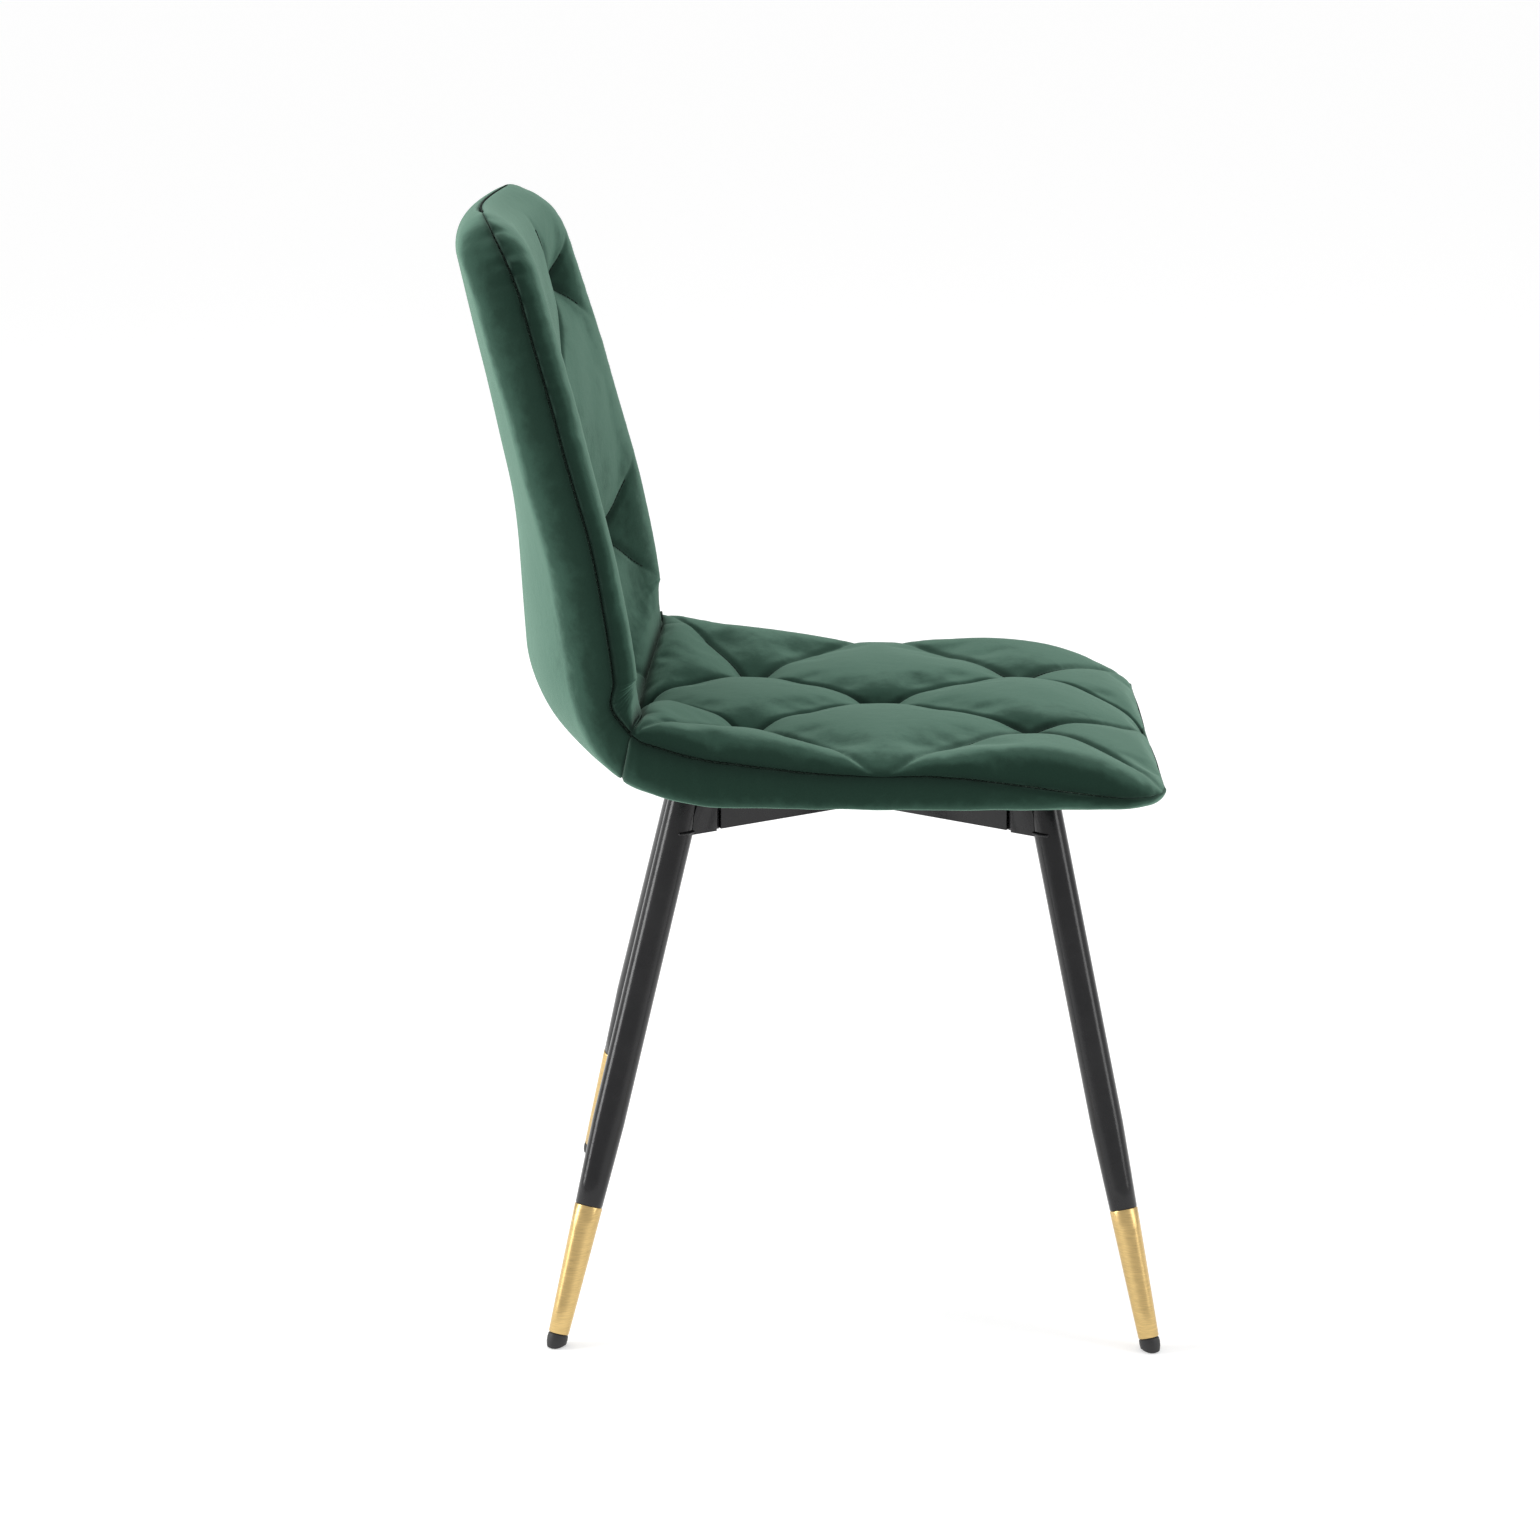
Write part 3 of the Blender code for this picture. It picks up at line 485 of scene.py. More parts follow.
def closed_pad(name, points, bed, painted_seam_shade):
    """Joins the face to its bed, which has fewer columns, along the sides and the two ends."""
    rows, columns = points.shape[:2]
    face = np.arange(rows * columns).reshape(rows, columns)
    under = face.size + np.arange(bed.shape[0] * bed.shape[1]).reshape(bed.shape[:2])
    under = np.concatenate([face[:, :1], under, face[:, -1:]], 1)
    faces = []
    for index, order in ((face, (0, 1, 2, 3)), (under, (3, 2, 1, 0))):
        around = (index[:-1, :-1], index[:-1, 1:], index[1:, 1:], index[1:, :-1])
        faces += np.stack([around[k] for k in order], -1).reshape(-1, 4).tolist()
    nearest = np.round(np.linspace(0, under.shape[1] - 1, columns)).astype(int)
    for row, turned in ((0, 1), (-1, -1)):
        for j in range(columns - 1):
            low, high = under[row, nearest[j]], under[row, nearest[j + 1]]
            around = [face[row, j + 1], face[row, j], low, high][::turned]
            loop = list(dict.fromkeys(int(k) for k in around))
            if len(loop) > 2:
                faces.append(loop)
    mesh = bpy.data.meshes.new(name)
    mesh.from_pydata(np.concatenate([points.reshape(-1, 3), bed.reshape(-1, 3)]), [], faces)
    paint_seam_shade(mesh, np.concatenate([painted_seam_shade.ravel(), np.zeros(bed.size // 3)]))
    return mesh


velvet = principled("Velvet", (0.030, 0.075, 0.052), 0.85, Sheen_Weight=0.30,
                    Sheen_Roughness=0.38, Sheen_Tint=(0.58, 0.86, 0.70, 1), Specular_IOR_Level=0.10)


def add_node(tree, kind, values=(), **settings):
    node = tree.nodes.new(kind)
    for key, value in settings.items():
        setattr(node, key, value)
    for key, value in dict(values).items():
        node.inputs[key].default_value = value
    return node


def velvet_nodes():
    """Short pile brushed in broad patches, with painted sheen: dark seen straight on, pale along its edges.
    Painted shade darkens it along the seams.
    """
    tree = velvet.node_tree
    link = tree.links.new
    shader = tree.nodes["Principled BSDF"]
    place = add_node(tree, "ShaderNodeTexCoord").outputs["Object"]
    brushed = add_node(tree, "ShaderNodeTexNoise",
                       {"Scale": 12.0, "Detail": 5.0, "Roughness": 0.6, "Distortion": 0.8})
    mottled = add_node(tree, "ShaderNodeTexNoise", {"Scale": 85.0, "Detail": 3.0, "Roughness": 0.6})
    pile = add_node(tree, "ShaderNodeTexNoise", {"Scale": 1300.0, "Detail": 2.0, "Roughness": 0.6})
    for noise in (brushed, mottled, pile):
        link(place, noise.inputs["Vector"])
    # Painted sheen: the colour turns paler where the surface turns away from the camera.
    painted_sheen = add_node(tree, "ShaderNodeLayerWeight", {"Blend": 0.42})
    brushed_and_sheen = add_node(tree, "ShaderNodeMath", operation="MULTIPLY_ADD")
    brushed_and_sheen.inputs[1].default_value = 0.46
    link(brushed.outputs["Fac"], brushed_and_sheen.inputs[0])
    link(painted_sheen.outputs["Facing"], brushed_and_sheen.inputs[2])
    small = add_node(tree, "ShaderNodeMath", operation="MULTIPLY_ADD")
    small.inputs[1].default_value = 0.24
    link(mottled.outputs["Fac"], small.inputs[0])
    link(brushed_and_sheen.outputs[0], small.inputs[2])
    # The ramp turns the brushed and mottled patches and the painted sheen into greens from dark to pale.
    ramp = add_node(tree, "ShaderNodeValToRGB")
    ramp.color_ramp.interpolation = "EASE"
    stops = ramp.color_ramp.elements
    stops[0].position, stops[0].color = 0.42, (0.012, 0.036, 0.024, 1)
    stops[1].position, stops[1].color = 1.0, (0.094, 0.190, 0.142, 1)
    middle = stops.new(0.70)
    middle.color = (0.031, 0.078, 0.055, 1)
    link(small.outputs[0], ramp.inputs["Fac"])
    grain = add_node(tree, "ShaderNodeMix", data_type="RGBA", blend_type="MULTIPLY")
    grain.inputs["Factor"].default_value = 0.30
    link(ramp.outputs["Color"], grain.inputs["A"])
    link(pile.outputs["Fac"], grain.inputs["B"])
    # Painted shade: a near-black green is mixed in along the seams, the quilting and the fold.
    painted_seam_shade = add_node(tree, "ShaderNodeAttribute", attribute_name="painted_seam_shade").outputs["Fac"]
    seams = add_node(tree, "ShaderNodeMix", data_type="RGBA")
    link(painted_seam_shade, seams.inputs["Factor"])
    link(grain.outputs["Result"], seams.inputs["A"])
    seams.inputs["B"].default_value = (0.005, 0.014, 0.010, 1)
    link(seams.outputs["Result"], shader.inputs["Base Color"])
    bump = add_node(tree, "ShaderNodeBump", {"Strength": 0.35, "Distance": 0.0004})
    link(pile.outputs["Fac"], bump.inputs["Height"])
    soft = add_node(tree, "ShaderNodeBump", {"Strength": 0.25, "Distance": 0.0015})
    link(mottled.outputs["Fac"], soft.inputs["Height"])
    link(bump.outputs["Normal"], soft.inputs["Normal"])
    link(soft.outputs["Normal"], shader.inputs["Normal"])


velvet_nodes()

SEAT_ROWS = np.linspace(0, 4, 4 * STEPS + 1)
SEAT_PLACES = (0.0985, 0.214, 0.316)


def seat_s(u, v):
    """Rows of crossings at SEAT_PLACES, crowded towards the front edge."""
    y = np.sign(v) * np.interp(np.abs(v), (0, 1, 2), (0, 0.0875, 0.208))
    last = SEAT_PLACES[2] + (fold_line(y) - SEAT_PLACES[2]) * (u - 3)
    middle = np.interp(u, (1, 2, 3), SEAT_PLACES)
    return np.where(u < 1, SEAT_PLACES[0] * u**1.5, np.where(u > 3, last, middle))


seat_mesh, seat_quilting, seat_seams, front_seam = quilted_pad("seat_pad", SEAT_ROWS, seat_s, 2.0, 0.0875,
                        {"seam": 0.0075, "crossing": 0.019, "fade": (-0.012, 0.075), "front": 0.5}, 4, 4.0)
seat_pad = add_piece("seat_pad", seat_mesh, velvet, ("seat_cover", "seat_foam"))


# Inner back pad: the same quilted velvet over a thicker foam that is hollowed for the
# sitter. Its sides turn over smoothly to the side seams, and its foot is sewn in the fold.

BACK_ROW = 0.101
BACK_FIRST = 0.476
back_rows = np.concatenate([
    np.arange(-13, 70) / STEPS,
    3.45 + (LENGTH - BACK_FIRST - 3.45 * BACK_ROW) / BACK_ROW * np.sin(np.linspace(0, np.pi / 2, 19))[1:],
])


def back_s(u, v):
    """Even rows up the back, and the first few crowded into the fold."""
    y = np.sign(v) * np.interp(np.abs(v), (0, 1, 1.85), (0, 0.108, 0.195))
    low = -13 / STEPS
    s = BACK_FIRST + BACK_ROW * u
    return np.where(u < 0, fold_line(y) + (BACK_FIRST - fold_line(y)) * (u - low) / -low, s)


back_mesh, back_quilting, back_seams, top_seam = quilted_pad("inner_back_pad", back_rows, back_s, 1.85, 0.108,
                        {"seam": 0.0075, "crossing": 0.017, "fade": (0.035, 0.075)}, 9, 4.0)
back_pad = add_piece("inner_back_pad", back_mesh, velvet, ("inner_back_cover", "back_foam"))


# Outer back: one plain velvet panel drawn over thin foam, round the back and under the
# heel, sewn to the inner back along the side seams and over the top.

JOIN = 0.408
FACE_UNDER = PLYWOOD / 2 + 0.0018
HEEL_PADDING = 0.0064
BORDER_JOIN = 0.6
TOP_HOLLOW = 0.0035
TOP_ROUND = 0.03


SKIRT = (0.009, 0.026)


def rear_face(s, girth):
    """y and n of the outer face at a girth that is 1 at the side seam, and 0 in the middle.

    Also the distance to that seam, the face's turn and how far it drops under the seam.
    """
    skirt = mixed(*SKIRT, s)
    level = half_width(s) - skirt
    drop = (seam_height(s) + FACE_UNDER + HEEL_PADDING * ease(s, 0.352, HEEL_END)) * end_share(s)
    arc = np.pi / 4 * (1.5 * (skirt + drop) - np.sqrt(skirt * drop))
    round_it = np.abs(girth) * (level + arc)
    turn = np.clip((round_it - level) / arc, 0, 1) * np.pi / 2
    y = np.minimum(round_it, level) + skirt * np.sin(turn)
    return np.sign(girth) * y, seam_height(s) - drop * np.cos(turn), (level + arc) - round_it, turn, drop


def outer_back():
    rows = np.concatenate([
        np.linspace(JOIN, LENGTH - TOP_ROUND, 220),
        LENGTH - TOP_ROUND * (1 - np.sin(np.linspace(0, np.pi / 2, 30)[1:])),
    ])
    s, girth = np.meshgrid(rows, np.linspace(-1, 1, 201), indexing="ij")
    y, n, to_edge, turn, drop = rear_face(s, girth)
    drawn = groove(to_edge) + seam_gathers(s, y, to_edge, 0.0015, 21) + groove(s - JOIN) * BORDER_JOIN
    drawn = drawn - 0.0010 * waves(s * 7, y * 9, 20) * ease(to_edge, 0, 0.03)
    across, along = outline(s)
    hollow = TOP_HOLLOW * ease(s, LENGTH - 0.11, LENGTH - 0.03) * (1 - np.clip(np.abs(y) / 0.13, 0, 1) ** 2)
    n = n + (drawn + hollow * end_share(s)) * np.cos(turn)
    y = y - np.sign(girth) * drawn * np.sin(turn) * across
    at_end = np.maximum(drawn * np.sin(turn) * np.clip(along, 0, 1) * (s > LENGTH / 2), groove(drop))
    # Painted shade beside the side seams, over the top and along the join with the seat border.
    sewn = np.maximum(np.exp(-to_edge / SHADE_BESIDE_SEAM), at_end / GROOVE_DEPTH)
    painted_seam_shade = np.maximum(sewn, np.exp(-(s - JOIN) / 0.003))
    face = shell_point(s - at_end, y, n)
    bed = bed_points(rows, -PLYWOOD / 2 - SEATED)
    return closed_pad("outer_back_pad", face[:, ::-1], bed[:, ::-1], painted_seam_shade[:, ::-1])


outer_pad = add_piece("outer_back_pad", outer_back(), velvet,
                      ("outer_back_cover", "outer_back_foam"))


# Seat border: one long velvet strip sewn to the quilted cover round the sides and the
# front edge of the seat, turned under the plywood and stapled there. The outer back's end
# is turned in under the seat in the same way.

HEM = 0.030
BORDER_DROP = 0.030
CLOTH_INSET = 0.018
CLOTH_RUN = (CLOTH_INSET, SEAT_RUN - 0.034)


def border_strips():
    """The strip's two side runs, its front run and the turned-in flap, as grids of points."""
    rows = np.concatenate([0.012 * np.linspace(0, 1, 14)[:-1] ** 1.6, np.linspace(0.012, JOIN, 200)])
    strips = []
    for hand in (-1, 1):
        s, share = np.meshgrid(rows, np.linspace(0, 1, 44), indexing="ij")
        _, base, _, _, drop = rear_face(s, np.zeros(s.shape))
        skirt = mixed(*SKIRT, s)
        along = share * (BORDER_DROP + HEM)
        turn = np.clip(along / BORDER_DROP, 0, 1) * np.pi / 2
        drawn = groove(along) + groove(JOIN - s) * BORDER_JOIN + 0.0005 * waves(s * 30, along * 12, 32)
        beside = np.exp(-along / 0.010) * ease(along, 0, 0.003)
        drawn = drawn + 0.0009 * waves(s * 85, along * 20, 31) * beside
        across, ahead = outline(s)
        y = half_width(s) - skirt + (skirt - drawn * across) * np.cos(turn)
        y = y - np.maximum(along - BORDER_DROP, 0)
        back = np.maximum(drawn * np.cos(turn) * np.clip(-ahead, 0, 1), groove(drop))
        n = base + drop * (1 - np.sin(turn)) + drawn * np.sin(turn) * ease(HEM + BORDER_DROP - along, 0, 0.02)
        # Painted shade beside the seam to the cover and at the join with the outer back.
        dark = np.maximum(np.exp(-along / SHADE_BESIDE_SEAM), np.exp(-(JOIN - s) / 0.003))
        strips.append((shell_point(s + back, hand * y, n), dark, hand < 0))
    rows = HEM * np.linspace(0, 1, 40) ** 2
    s, share = np.meshgrid(rows, np.linspace(-1, 1, 121), indexing="ij")
    _, base, _, _, drop = rear_face(s, np.zeros(s.shape))
    y = share * (half_width(s) - HEM * 0.6)
    n = base + 0.0006 + 0.0003 * waves(s * 30, y * 30, 33) * ease(s, 0.004, 0.02)
    # Painted shade on the flap, darkest at the front edge where the body rounds off.
    strips.append((shell_point(s + groove(drop), y, n), groove(drop) / GROOVE_DEPTH, False))
    rows = np.linspace(CLOTH_RUN[1] - 0.016, JOIN + 0.012, 50)
    s, share = np.meshgrid(rows, np.linspace(-1, 1, 121), indexing="ij")
    _, base, _, _, _ = rear_face(s, np.zeros(s.shape))
    n = base + 0.0004 + 0.0010 * ease(s, JOIN - 0.004, JOIN + 0.002) + 0.0003 * waves(s * 30, share * 6, 34)
    strips.append((shell_point(s, share * (half_width(s) - HEM * 0.8), n), np.zeros(s.shape), False))
    return strips


def joined_grids(name, strips):
    """One mesh of separate grids, each given as its points, how much painted shade darkens them and its way
    round.
    """
    places, quads, dark = [], [], []
    for points, shade, flip in strips:
        rows, columns = points.shape[:2]
        index = sum(len(p) for p in places) + np.arange(rows * columns).reshape(rows, columns)
        around = np.stack([index[:-1, :-1], index[:-1, 1:], index[1:, 1:], index[1:, :-1]], -1).reshape(-1, 4)
        quads += (around if flip else around[:, ::-1]).tolist()
        places.append(points.reshape(-1, 3))
        dark.append(shade.ravel())
    mesh = bpy.data.meshes.new(name)
    mesh.from_pydata(np.concatenate(places), [], quads)
    paint_seam_shade(mesh, np.concatenate(dark))
    return mesh


def thicken(piece, thickness, offset):
    cloth = piece.modifiers.new("Thickness", "SOLIDIFY")
    cloth.thickness = thickness
    cloth.offset = offset


border_mesh = joined_grids("seat_border_strip", border_strips())
seat_border = add_piece("seat_border_strip", border_mesh, velvet, ("seat_border",))
thicken(seat_border, 0.0010, -1)


# Threads: one lockstitched row in each quilted crease and beside every seam, in a dark
# green polyester, a little darker than the velvet.

thread = principled("Thread", (0.006, 0.014, 0.010), 0.75, Specular_IOR_Level=0.12)


def placed(tree, pattern):
    """A pattern that is laid by the object's own coordinates."""
    tree.links.new(add_node(tree, "ShaderNodeTexCoord").outputs["Object"], pattern.inputs["Vector"])
    return pattern


def raised(tree, height, strength, distance):
    """A bump on the tree's shader from a pattern's output."""
    bump = add_node(tree, "ShaderNodeBump", {"Strength": strength, "Distance": distance})
    tree.links.new(height, bump.inputs["Height"])
    tree.links.new(bump.outputs["Normal"], tree.nodes["Principled BSDF"].inputs["Normal"])


twist = placed(thread.node_tree, add_node(thread.node_tree, "ShaderNodeTexNoise",
                                          {"Scale": 2600.0, "Detail": 1.0}))
raised(thread.node_tree, twist.outputs["Fac"], 0.4, 0.0002)


def repeat_tree(name, material, kind):
    """Copies one small solid at even steps along a path, each laid along it."""
    tree = bpy.data.node_groups.new(name, "GeometryNodeTree")
    face = tree.interface
    face.new_socket("Path", in_out="INPUT", socket_type="NodeSocketGeometry")
    for label in ("Pitch", "Length", "Radius"):
        face.new_socket(label, in_out="INPUT", socket_type="NodeSocketFloat")
    face.new_socket("Solid", in_out="OUTPUT", socket_type="NodeSocketGeometry")
    source = tree.nodes.new("NodeGroupInput").outputs
    link = tree.links.new
    curve = tree.nodes.new("GeometryNodeMeshToCurve")
    link(source["Path"], curve.inputs["Mesh"])
    steps = add_node(tree, "GeometryNodeResampleCurve", mode="LENGTH")
    link(curve.outputs["Curve"], steps.inputs["Curve"])
    link(source["Pitch"], steps.inputs["Length"])
    if kind == "bead":
        solid = add_node(tree, "GeometryNodeMeshIcoSphere", {"Subdivisions": 2})
        link(source["Radius"], solid.inputs["Radius"])
    else:
        solid = add_node(tree, "GeometryNodeMeshCylinder", {"Vertices": 6})
        link(source["Radius"], solid.inputs["Radius"])
        link(source["Length"], solid.inputs["Depth"])
    lay = add_node(tree, "FunctionNodeAlignRotationToVector", axis="Z")
    link(tree.nodes.new("GeometryNodeInputTangent").outputs["Tangent"], lay.inputs["Vector"])
    copies = tree.nodes.new("GeometryNodeInstanceOnPoints")
    link(steps.outputs["Curve"], copies.inputs["Points"])
    link(solid.outputs["Mesh"], copies.inputs["Instance"])
    link(lay.outputs["Rotation"], copies.inputs["Rotation"])
    real = tree.nodes.new("GeometryNodeRealizeInstances")
    link(copies.outputs["Instances"], real.inputs["Geometry"])
    finish = tree.nodes.new("GeometryNodeSetMaterial")
    finish.inputs["Material"].default_value = material
    link(real.outputs["Geometry"], finish.inputs["Geometry"])
    link(finish.outputs["Geometry"], tree.nodes.new("NodeGroupOutput").inputs["Solid"])
    return tree


def repeated(name, tree, paths, pitch, length, radius):
    """One plain mesh of the tree's solids along all the paths."""
    mesh = bpy.data.meshes.new(name + "_path")
    places, edges = [], []
    for path in paths:
        start = len(places)
        places += [tuple(p) for p in path]
        edges += [(start + k, start + k + 1) for k in range(len(path) - 1)]
    mesh.from_pydata(places, edges, [])
    holder = bpy.data.objects.new(name + "_path", mesh)
    bpy.context.scene.collection.objects.link(holder)
    maker = holder.modifiers.new("Repeat", "NODES")
    maker.node_group = tree
    for label, value in (("Pitch", pitch), ("Length", length), ("Radius", radius)):
        maker[tree.interface.items_tree[label].identifier] = value
    shown = holder.evaluated_get(bpy.context.evaluated_depsgraph_get())
    made = bpy.data.meshes.new_from_object(shown)
    bpy.data.objects.remove(holder)
    made.name = name
    return add_piece(name, made, tree.nodes["Set Material"].inputs["Material"].default_value)


stitches = repeat_tree("Stitches", thread, "stitch")


def lifted(path, height):
    """A path raised off the plywood's side of the cover."""
    return path + np.array([0, 0, height])


quilting_paths = [lifted(p, 0.0004) for p in seat_quilting]
quilting_paths += [p + (0.0004, 0, 0.0001) for p in back_quilting]
repeated("quilting_thread", stitches, quilting_paths, 0.0046, 0.0034, 0.0005)


def beside(points, out):
    """Seam stitches sit in the groove, a little proud of its bottom."""
    return points + np.sign(points[:, 1:2]) * np.array([[0, out, 0]])


seam_paths = [beside(p, 0.0022) for p in seat_seams + back_seams]
seam_paths += [lifted(top_seam, 0.0020), front_seam + (0.0020, 0, 0)]
repeated("seam_thread", stitches, seam_paths, 0.0056, 0.0040, 0.0008)


# Bottom cloth: a black non-woven lining stretched under the seat over the turned hem, and
# stapled round its edge. It sags a little between the staples.

lining = principled("Lining", (0.020, 0.020, 0.021), 0.9, Specular_IOR_Level=0.2)


def lining_nodes():
    tree = lining.node_tree
    link = tree.links.new
    place = add_node(tree, "ShaderNodeTexCoord").outputs["Object"]
    fibres = add_node(tree, "ShaderNodeTexVoronoi", {"Scale": 700.0}, feature="DISTANCE_TO_EDGE")
    clouds = add_node(tree, "ShaderNodeTexNoise", {"Scale": 60.0, "Detail": 4.0})
    for pattern in (fibres, clouds):
        link(place, pattern.inputs["Vector"])
    ramp = add_node(tree, "ShaderNodeValToRGB")
    ramp.color_ramp.elements[0].color = (0.010, 0.010, 0.011, 1)
    ramp.color_ramp.elements[1].color = (0.042, 0.042, 0.044, 1)
    link(clouds.outputs["Fac"], ramp.inputs["Fac"])
    link(ramp.outputs["Color"], tree.nodes["Principled BSDF"].inputs["Base Color"])
    raised(tree, fibres.outputs["Distance"], 0.5, 0.0004)


lining_nodes()
CLOTH_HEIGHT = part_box("dust_cloth")[0][2] + 0.0005 - PLYWOOD_HEIGHT

STAPLE_PITCH = 0.025


def cloth_points():
    """The lining, slack where the mounting plates don't hold it and scalloped by its staples."""
    s, share = np.meshgrid(np.linspace(*CLOTH_RUN, 150), np.linspace(-1, 1, 161), indexing="ij")
    y = share * (half_width(s) - CLOTH_INSET)
    from_rim = np.minimum(np.minimum(s - CLOTH_RUN[0], CLOTH_RUN[1] - s), (1 - np.abs(share)) * 0.19)
    slack = (0.0008 * waves(s * 9, y * 9, 41) - 0.0008) * ease(from_rim, 0.004, 0.05)
    scallops = 0.00024 * np.cos(2 * np.pi * (s + np.abs(y)) / STAPLE_PITCH) * np.exp(-from_rim / 0.012)
    x, z, _ = spine(s)
    over_plates = np.exp(-(((np.abs(y) - 0.06) / 0.06) ** 4) - (((np.abs(x - 0.043) - 0.097) / 0.06) ** 4))
    return np.stack([x, y, z + CLOTH_HEIGHT + slack * (1 - over_plates) + scallops], -1)


cloth_mesh = grid_mesh("bottom_cloth", cloth_points(), flip=True)
bottom_cloth = add_piece("bottom_cloth", cloth_mesh, lining, ("dust_cloth",))
thicken(bottom_cloth, 0.0004, 0)


# Staples: zinc-plated wire with a 10 mm crown, one every 25 mm round the bottom cloth.

def graded(ramp, low, low_colour, high, high_colour):
    """Sets a ramp's two stops."""
    for stop, (position, colour) in zip(ramp.color_ramp.elements, ((low, low_colour), (high, high_colour))):
        stop.position = position
        stop.color = (*colour, 1)


def metal(name, colour, roughness, scratch, stretch, **sockets):
    """A metal whose colour and gloss vary along fine scratches."""
    material = principled(name, colour, roughness, 1.0, **sockets)
    tree = material.node_tree
    link = tree.links.new
    turn = add_node(tree, "ShaderNodeMapping", {"Scale": stretch})
    link(add_node(tree, "ShaderNodeTexCoord").outputs["Object"], turn.inputs["Vector"])
    lines = add_node(tree, "ShaderNodeTexNoise", {"Scale": scratch, "Detail": 5.0, "Roughness": 0.6})
    link(turn.outputs["Vector"], lines.inputs["Vector"])
    tone = add_node(tree, "ShaderNodeValToRGB")
    graded(tone, 0.3, [c * 0.78 for c in colour], 0.7, [min(c * 1.12, 1) for c in colour])
    link(lines.outputs["Fac"], tone.inputs["Fac"])
    link(tone.outputs["Color"], tree.nodes["Principled BSDF"].inputs["Base Color"])
    gloss = add_node(tree, "ShaderNodeMapRange", {"To Min": roughness * 0.75, "To Max": roughness * 1.3})
    link(lines.outputs["Fac"], gloss.inputs["Value"])
    link(gloss.outputs["Result"], tree.nodes["Principled BSDF"].inputs["Roughness"])
    raised(tree, lines.outputs["Fac"], 0.15, 0.0002)
    return material


zinc = metal("Zinc", (0.56, 0.57, 0.58), 0.36, 300.0, (1, 1, 1))
FROM_EDGE = 0.005
rim_rows = np.linspace(CLOTH_RUN[0] + FROM_EDGE, CLOTH_RUN[1] - FROM_EDGE, 60)
rim_half = half_width(rim_rows) - CLOTH_INSET - FROM_EDGE
rim_x = spine(rim_rows)[0]
rim_z = PLYWOOD_HEIGHT + CLOTH_HEIGHT - 0.0003
rim_paths = [np.stack([rim_x, hand * rim_half, np.full(60, rim_z)], -1) for hand in (-1, 1)]
for end in (0, -1):
    across = np.linspace(-rim_half[end] + 0.02, rim_half[end] - 0.02, 40)
    rim_paths.append(np.stack([np.full(40, rim_x[end]), across, np.full(40, rim_z)], -1))
repeated("staples", repeat_tree("Staples", zinc, "staple"), rim_paths, STAPLE_PITCH, 0.010, 0.0004)


# Plywood shell: pale beech veneers pressed to the bend, with their layers showing on the
# cut edge. It stays wholly inside the covers.

wood = principled("Plywood", (0.62, 0.45, 0.27), 0.6)
wood_tree = wood.node_tree
veneers = add_node(wood_tree, "ShaderNodeTexWave",
                   {"Scale": 120.0, "Distortion": 1.5, "Detail": 2.0}, bands_direction="Z")
grain = add_node(wood_tree, "ShaderNodeTexNoise", {"Scale": 14.0, "Detail": 6.0, "Distortion": 0.8})
along_grain = add_node(wood_tree, "ShaderNodeMapping", {"Scale": (1.0, 12.0, 1.0)})
wood_place = add_node(wood_tree, "ShaderNodeTexCoord").outputs["Object"]
wood_tree.links.new(wood_place, along_grain.inputs["Vector"])
wood_tree.links.new(wood_place, veneers.inputs["Vector"])
wood_tree.links.new(along_grain.outputs["Vector"], grain.inputs["Vector"])
wood_mix = add_node(wood_tree, "ShaderNodeMix", {"Factor": 0.35}, data_type="FLOAT")
wood_tree.links.new(grain.outputs["Fac"], wood_mix.inputs["A"])
wood_tree.links.new(veneers.outputs["Fac"], wood_mix.inputs["B"])
wood_tone = add_node(wood_tree, "ShaderNodeValToRGB")
wood_tone.color_ramp.elements[0].color = (0.42, 0.27, 0.14, 1)
wood_tone.color_ramp.elements[1].color = (0.72, 0.55, 0.36, 1)
wood_tree.links.new(wood_mix.outputs["Result"], wood_tone.inputs["Fac"])
wood_tree.links.new(wood_tone.outputs["Color"], wood_tree.nodes["Principled BSDF"].inputs["Base Color"])


def refinish(names, material):
    """Gives nodes that keep their shape a better material."""
    for name in names:
        for place in nodes[name].material_slots:
            place.material = material


refinish(["plywood_shell"], wood)


# Fixings: zinc-plated hexagon bolts through each mounting plate into tee nuts, which are
# pressed into the plywood from above.

for corner in corners:
    refinish([f"{kind}_{corner}_{side}" for kind in ("bolt", "tee_nut") for side in ("inner", "outer")], zinc)


# Underframe: rectangular steel tube in an X, a saddle and a mounting plate at each leg, all
# welded and powder coated black.

powder = principled("Powder_coat", (0.008, 0.008, 0.009), 0.22, Specular_IOR_Level=0.36)


